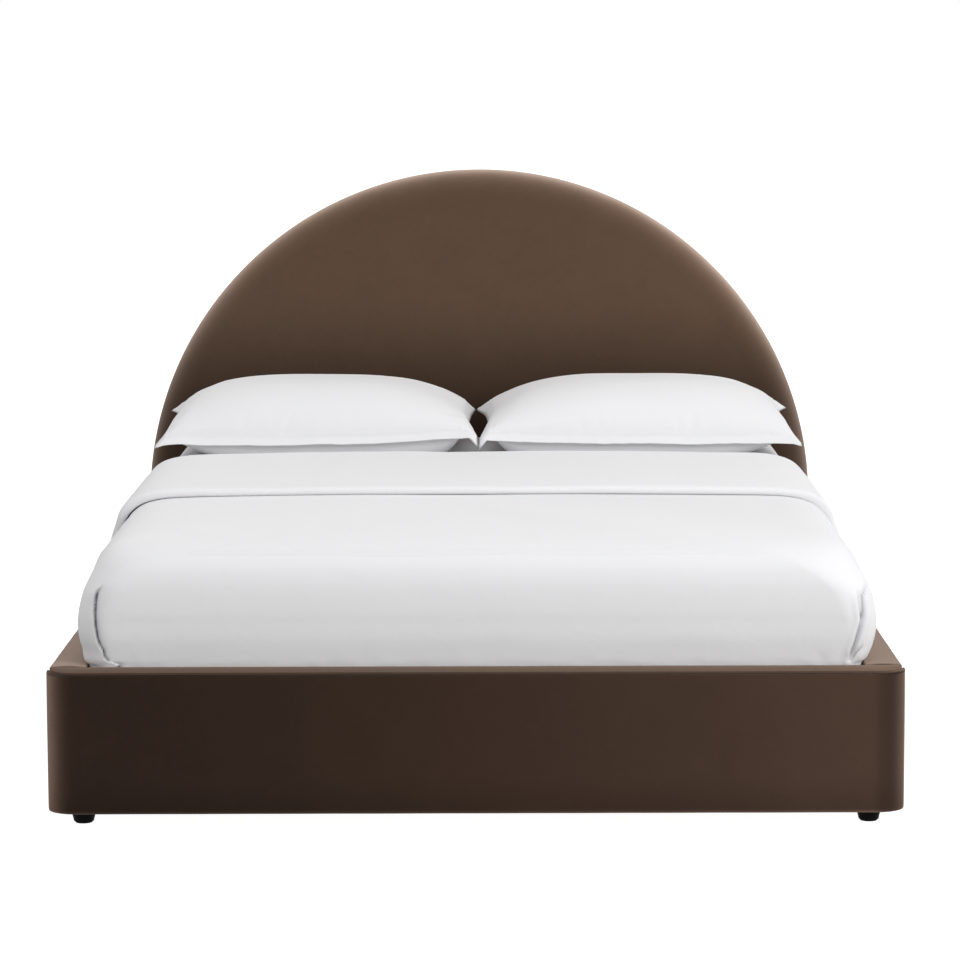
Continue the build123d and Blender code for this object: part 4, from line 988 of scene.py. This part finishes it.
def makeCuff():
    # the turned-down end: a closed roll carried across the bed along the duvet's own section
    half, foot, head, t = duvet["half"], cuff["foot"], cuff["head"], cuff["thickness"]
    side = curveThrough(duvet["sideSection"], 90)
    inset, z = side[side[:, 1] > cuff["sideLow"]].T
    more = np.linspace(half - inset[-1], 0, 60)[1:]
    x, z = np.append(half - inset, more), np.append(z, z[-1] + 0 * more)
    z = z + duvet["crown"] * smoothStep(half - x, 0.05, 0.6)
    section = np.concatenate([lineOf(-x, z), lineOf(x[::-1][1:], z[::-1][1:])])
    way = np.gradient(section, axis=0)
    normal = lineOf(-way[:, 1], way[:, 0])
    normal = normal / np.linalg.norm(normal, axis=1, keepdims=True)
    # loop along the bed: rounded foot edge, top, head roll and the underside
    angle = np.linspace(-quarter, quarter, 12)
    rollH = t / 2 + t / 2 * np.sin(angle)
    topY = np.linspace(foot + 0.03, head - 0.03, 47)
    share = (topY - topY[0]) / (topY[-1] - topY[0])
    underY = np.linspace(head - 0.03, foot + 0.03, 20)
    length = np.concatenate([foot + t * 0.55 * (1 - np.cos(angle)), topY,
                             head - t * 0.7 * (1 - np.cos(angle[::-1])), underY])[None]
    topH = t + 0.001 * np.sin(math.pi * share)
    lift = np.concatenate([rollH, topH, rollH[::-1], 0 * underY + 0.0008])[None]
    # the sides end in a rounded hem
    across = distances(section)
    hem = np.minimum(across, across[-1] - across)
    fit = np.sqrt(np.clip(1 - (1 - np.clip(hem / cuff["hemWidth"], 0, 1)) ** 2, 0, 1))
    fit = fit * (1 - cuff["hemThin"]) + cuff["hemThin"] - 0.36 * (1 - smoothStep(hem, 0, 0.004))
    x, z = section[:, :1], section[:, 1:]
    long, short = cuff["waves"]
    swell = long * softNoise(x, length, 0.36, 81) + short * softNoise(x, length, 0.12, 82)
    swell = swell + cuff["shoulderSwell"] * bump(z, cuff["shoulderZ"], cuff["shoulderWidth"])
    wave = cuff["edgeWave"] * softNoise(x, 0 * length, 0.7, 83)
    y = length + wave * (1 - smoothStep(length, foot + 0.02, foot + 0.2))
    h = lift * fit[:, None] + swell * (lift > t * 0.4)
    grid = np.stack([x + normal[:, :1] * h + cuff["shift"], y, z + normal[:, 1:] * h], -1)
    piece = faceOutwards(makePiece("duvetCuff", [(capped(grid), False)], wrap=True))
    dress(piece, whiteLinen, "platform")


# Pillows

pillow = {
    "flange": 0.030, "flangeThick": 0.003, "topZ": 0.7075, "drawFoot": 0.012, "footRise": 0.0435,
    "headRise": 0.0865, "flangeRise": 0.014, "rearArch": 0.040, "belly": 0.022, "sag": 0.085,
    # heights of the flange's long and short waves, the puckers along the seam, the dents and the
    # groove
    "waves": (0.0016, 0.0005), "pucker": 0.0008, "dents": 0.0012, "groove": 0.0016, "fill": 0.75,
    # how round the two ends and the two sides are, and the part that is filled
    "endDome": (2.7, 0.72), "outerSquare": 0.3, "sideDome": (2.3, 0.62), "fillDome": (3.0, 0.62),
    # how far the two ends are drawn in, from the foot to the head side
    "outerDraw": [(-1, 0), (-0.85, 0.001), (-0.52, 0.013), (0.06, 0.024), (0.60, 0.030),
                  (0.82, 0.020), (1, 0)],
    "innerDraw": [(-1, -0.0035), (-0.6, 0.005), (-0.2, 0.0125), (0.17, 0.019), (0.5, 0.016),
                  (0.8, 0.010), (1, 0.0045)],
    # how the flange's front edge rises, from the outer to the inner end
    "frontCurve": [(-1, 0.001), (-0.86, 0.005), (-0.69, 0.001), (-0.31, 0), (0.07, 0.0015),
                   (0.45, 0.005), (0.82, 0.014), (1, 0.021)],
    "frontShare": {"left": 1.0, "right": 0.6},
    "earDrop": 0.026, "outerDrop": 0.15, "earReach": 0.020,
    # how much further the inner rear corner of each one reaches
    "rearReach": {"left": 0.001, "right": 0.0145},
    "puffCap": 0.003, "puffFrames": 20,
}


def puff(piece, hold, start, lowest):
    # blows the cloth up a little with pressure, so that it wrinkles along its seams, and limits how
    # far it moves
    group = piece.vertex_groups.new(name="hold")
    level = np.round(hold, 1)
    for value in np.unique(level):
        group.add(np.nonzero(level == value)[0].tolist(), float(value), "REPLACE")
    cloth = piece.modifiers.new("puff", "CLOTH")
    settings = {
        "quality": 6, "mass": 0.25, "tension_stiffness": 12, "compression_stiffness": 12,
        "shear_stiffness": 4, "bending_stiffness": 1.0, "use_pressure": True,
        "uniform_pressure_force": 4, "vertex_group_mass": "hold", "shrink_min": -0.003,
    }
    for key, value in settings.items():
        setattr(cloth.settings, key, value)
    cloth.settings.effector_weights.gravity = 0
    cloth.collision_settings.use_collision = False
    cloth.point_cache.frame_start, cloth.point_cache.frame_end = 1, pillow["puffFrames"]
    for frameNumber in range(1, pillow["puffFrames"] + 1):
        bpy.context.scene.frame_set(frameNumber)
    moved = np.empty(len(start) * 3)
    settled = piece.evaluated_get(bpy.context.evaluated_depsgraph_get())
    settled.data.vertices.foreach_get("co", moved)
    piece.modifiers.remove(cloth)
    bpy.context.scene.frame_set(1)
    shift = moved.reshape(-1, 3) - start
    far, cap = np.linalg.norm(shift, axis=1, keepdims=True), pillow["puffCap"]
    result = start + shift * cap * np.tanh(far / cap) / np.maximum(far, 1e-9) * (1 - hold[:, None])
    result[:, 2] = np.maximum(result[:, 2], np.minimum(start[:, 2], lowest))
    piece.data.vertices.foreach_set("co", result.ravel())
    piece.data.update()


def makePillow(label, side, seed):
    # two grids, top and base, over an oblong with drawn-in sides and pointed ears, joined at the
    # flange's edge
    p = pillow
    lo, hi = low(label + "_pillow"), high(label + "_pillow")
    (cx, cy), (hx, hy) = (lo[:2] + hi[:2]) / 2, (hi[:2] - lo[:2]) / 2
    fx, fy = p["flange"] / hx, p["flange"] / hy
    u = spread([-1, -1 + fx, -0.8, 0.8, 1 - fx, 1], [7, 12, 92, 12, 7])
    v = spread([-1, -1 + fy, -0.72, 0.72, 1 - fy, 1], [7, 12, 48, 12, 7])
    u, v = np.meshgrid(u, v, indexing="ij")
    seamU, seamV = np.clip(u / (1 - fx), -1, 1), np.clip(v / (1 - fy), -1, 1)
    outer, sizeU, sizeV = u * side, np.abs(u), np.abs(v)
    # fullness along the pillow, across it and over both
    square, steep = p["endDome"]
    acrossU = dome(u, square + p["outerSquare"] * smoothStep(outer, -0.6, 0.6), steep)
    crownV = dome(seamV, *p["sideDome"])
    fill = dome(seamU, *p["fillDome"]) * crownV
    inner = along(p["innerDraw"], v) - p["rearReach"][label] * smoothStep(v, 0.55, 1)
    draw = np.where(outer > 0, along(p["outerDraw"], v), inner)
    x = cx + u * hx - np.sign(u) * draw * sizeU ** 6
    y = cy + v * hy * (1 - p["drawFoot"] / hy * dome(u, 8, 1) * sizeV ** 2)
    # the plane of the flange, its waves, its rise to the rear and the front, and the hanging ears
    edgeU, edgeV = (1 - sizeU) / fx, (1 - sizeV) / fy
    edge = np.minimum(edgeU, edgeV)
    plane = sheetTop + p["footRise"] + (p["headRise"] - p["footRise"]) * (v + 1) / 2
    long, short = p["waves"]
    wave = long * softNoise(x, y, 0.20, seed) + short * softNoise(x, y, 0.05, seed + 1)
    plane = plane + wave * (1 - smoothStep(edge, 0.8, 1.3))
    plane = plane + p["rearArch"] * (1 - sizeU ** 6) * smoothStep(v, 0.2, 1)
    front = along(p["frontCurve"], -outer) * p["frontShare"][label]
    plane = plane + front * smoothStep(-v, -0.2, 1)
    ear = np.maximum(1 - ((1 - sizeU) * hx + (1 - sizeV) * hy) / p["earReach"], 0)
    plane = plane - p["earDrop"] * ear * (v < 0) * np.where(outer > 0, p["outerDrop"], 1.0)
    # seams, soft dents, the belly above and the sag below
    rise = p["flangeRise"] * smoothStep(edge, 0, 1)
    near = np.minimum(1 - np.abs(seamU), (1 - np.abs(seamV)) * hy / hx)
    around = np.where(np.abs(seamU) * hx > np.abs(seamV) * hy, y, x)
    pucker = p["pucker"] * softNoise(around, 0 * around, 0.035, seed + 2) * bump(near, 0.03, 0.045)
    dents = p["dents"] * softNoise(x, y, 0.24, seed + 3) * fill
    groove = p["groove"] * (bump(edgeV, 1.0, 0.10) + bump(edgeU, 1.0, 0.10)) * (edge > 0.85)
    half, middle = p["flangeThick"] / 2, sheetTop + (p["footRise"] + p["headRise"]) / 2
    belly = np.maximum((p["topZ"] - middle) * crownV * acrossU,
                       p["belly"] * acrossU * (edgeU < 1) * crownV)
    top = plane + half + rise + belly - groove + (pucker + dents) * (fill > 0)
    blunt = 3 + 6 * smoothStep(-outer, 0.1, 0.7)
    sag = p["sag"] * dome(seamU, blunt, 0.81) * crownV ** 0.5
    base = np.maximum(plane - half + rise * 0.8 - sag + pucker * 0.5, sheetTop + 0.0006)
    base = np.minimum(base, plane + rise - half)
    rim = smoothStep(edge, 0, 0.06)
    upper, lower = (np.stack([x, y, plane + (z - plane) * rim], -1) for z in (top, base))
    piece = makePiece(label + "Pillow", [(upper, False), (lower, True)], merge=2e-5)
    start = np.empty(len(piece.data.vertices) * 3)
    piece.data.vertices.foreach_get("co", start)
    start = start.reshape(-1, 3)
    fromSeam = np.abs(start[:, :2] - [cx, cy]) / (np.array([hx, hy]) - p["flange"])
    hold = smoothStep(fromSeam.max(axis=1), 0.985, 1.01)
    hold = np.maximum(hold, (start[:, 2] < sheetTop + 0.004) * 1.0)
    puff(piece, hold, start, sheetTop + 0.0005)
    dress(faceOutwards(piece), whiteLinen, "platform", label + "_pillow")


makeMattress()
sheetPiece = makeSheet()
makeDuvet()
makeCuff()
makePillow("right", 1, 91)
makePillow("left", -1, 191)
print("bedding made")


# Floor, light and camera

studio = {
    "cameraPlace": (0.036, -7.756, 1.509), "pitch": 6.966, "yaw": 0.22, "roll": 0.205,
    "focalPixels": 3405.0, "imagePixels": 960.0, "sensor": 36.0,
    "sky": 0.86, "floorBounce": 0.36, "floorGlow": 0.975, "floorReach": 60.0,
    "keyPlace": (5.2, -4.8, 3.4), "keyTarget": (0, -0.3, 0.4), "keySize": 3.2, "keyPower": 225.0,
}


def showOrLight(tree, output, lights, shows):
    # one shader lights the scene, the other is seen directly, in reflections and through glass
    rays = addNode(tree, "ShaderNodeLightPath").outputs
    seen = mathNode(tree, "MAXIMUM", rays["Is Camera Ray"], rays["Is Glossy Ray"])
    seen = mathNode(tree, "MAXIMUM", seen, rays["Is Transmission Ray"])
    mix = addNode(tree, "ShaderNodeMixShader", {0: seen, 1: lights, 2: shows})
    addNode(tree, output, {0: mix.outputs[0]})


def background(tree, strength):
    links = {"Color": (1, 1, 1, 1), "Strength": strength}
    return addNode(tree, "ShaderNodeBackground", links).outputs[0]


def makeWorld():
    world = bpy.context.scene.world = bpy.data.worlds.new("studioWorld")
    world.use_nodes = True
    tree = world.node_tree
    tree.nodes.clear()
    showOrLight(tree, "ShaderNodeOutputWorld", background(tree, studio["sky"]),
                background(tree, 1.0))


def makeFloor():
    mesh = bpy.data.meshes.new("floor")
    corners = [(-1, -1), (1, -1), (1, 1), (-1, 1)]
    reach = studio["floorReach"]
    mesh.from_pydata([(x * reach, y * reach, 0) for x, y in corners], [], [(0, 1, 2, 3)])
    material = bpy.data.materials.new("paleFloor")
    material.use_nodes = True
    tree = material.node_tree
    tree.nodes.clear()
    matte = addNode(tree, "ShaderNodeBsdfDiffuse",
                    {"Color": (*[studio["floorBounce"]] * 3, 1)}).outputs[0]
    glow = addNode(tree, "ShaderNodeEmission", {"Strength": studio["floorGlow"]}).outputs[0]
    both = addNode(tree, "ShaderNodeAddShader", {0: matte, 1: glow}).outputs[0]
    showOrLight(tree, "ShaderNodeOutputMaterial", matte, both)
    mesh.materials.append(material)
    addObject("floor", mesh)


def makeLight():
    data = bpy.data.lights.new("keyLight", "AREA")
    data.shape = "SQUARE"
    data.size, data.energy = studio["keySize"], studio["keyPower"]
    light = addObject("keyLight", data)
    light.location = studio["keyPlace"]
    way = Vector(studio["keyTarget"]) - Vector(studio["keyPlace"])
    light.rotation_euler = way.to_track_quat("-Z", "Y").to_euler()


def makeCamera():
    data = bpy.data.cameras.new("camera")
    camera = bpy.context.scene.camera = addObject("camera", data)
    data.sensor_width = studio["sensor"]
    data.lens = studio["sensor"] * studio["focalPixels"] / studio["imagePixels"]
    data.clip_start, data.clip_end = 0.1, 200
    pitch, yaw, roll = (math.radians(studio[key]) for key in ("pitch", "yaw", "roll"))
    aim = Euler((quarter - pitch, 0, yaw)).to_matrix() @ Matrix.Rotation(-roll, 3, "Z")
    camera.location = studio["cameraPlace"]
    camera.rotation_euler = aim.to_euler()


makeWorld()
makeFloor()
makeLight()
makeCamera()
bpy.context.scene.view_settings.view_transform = "Standard"

print("scene ready")
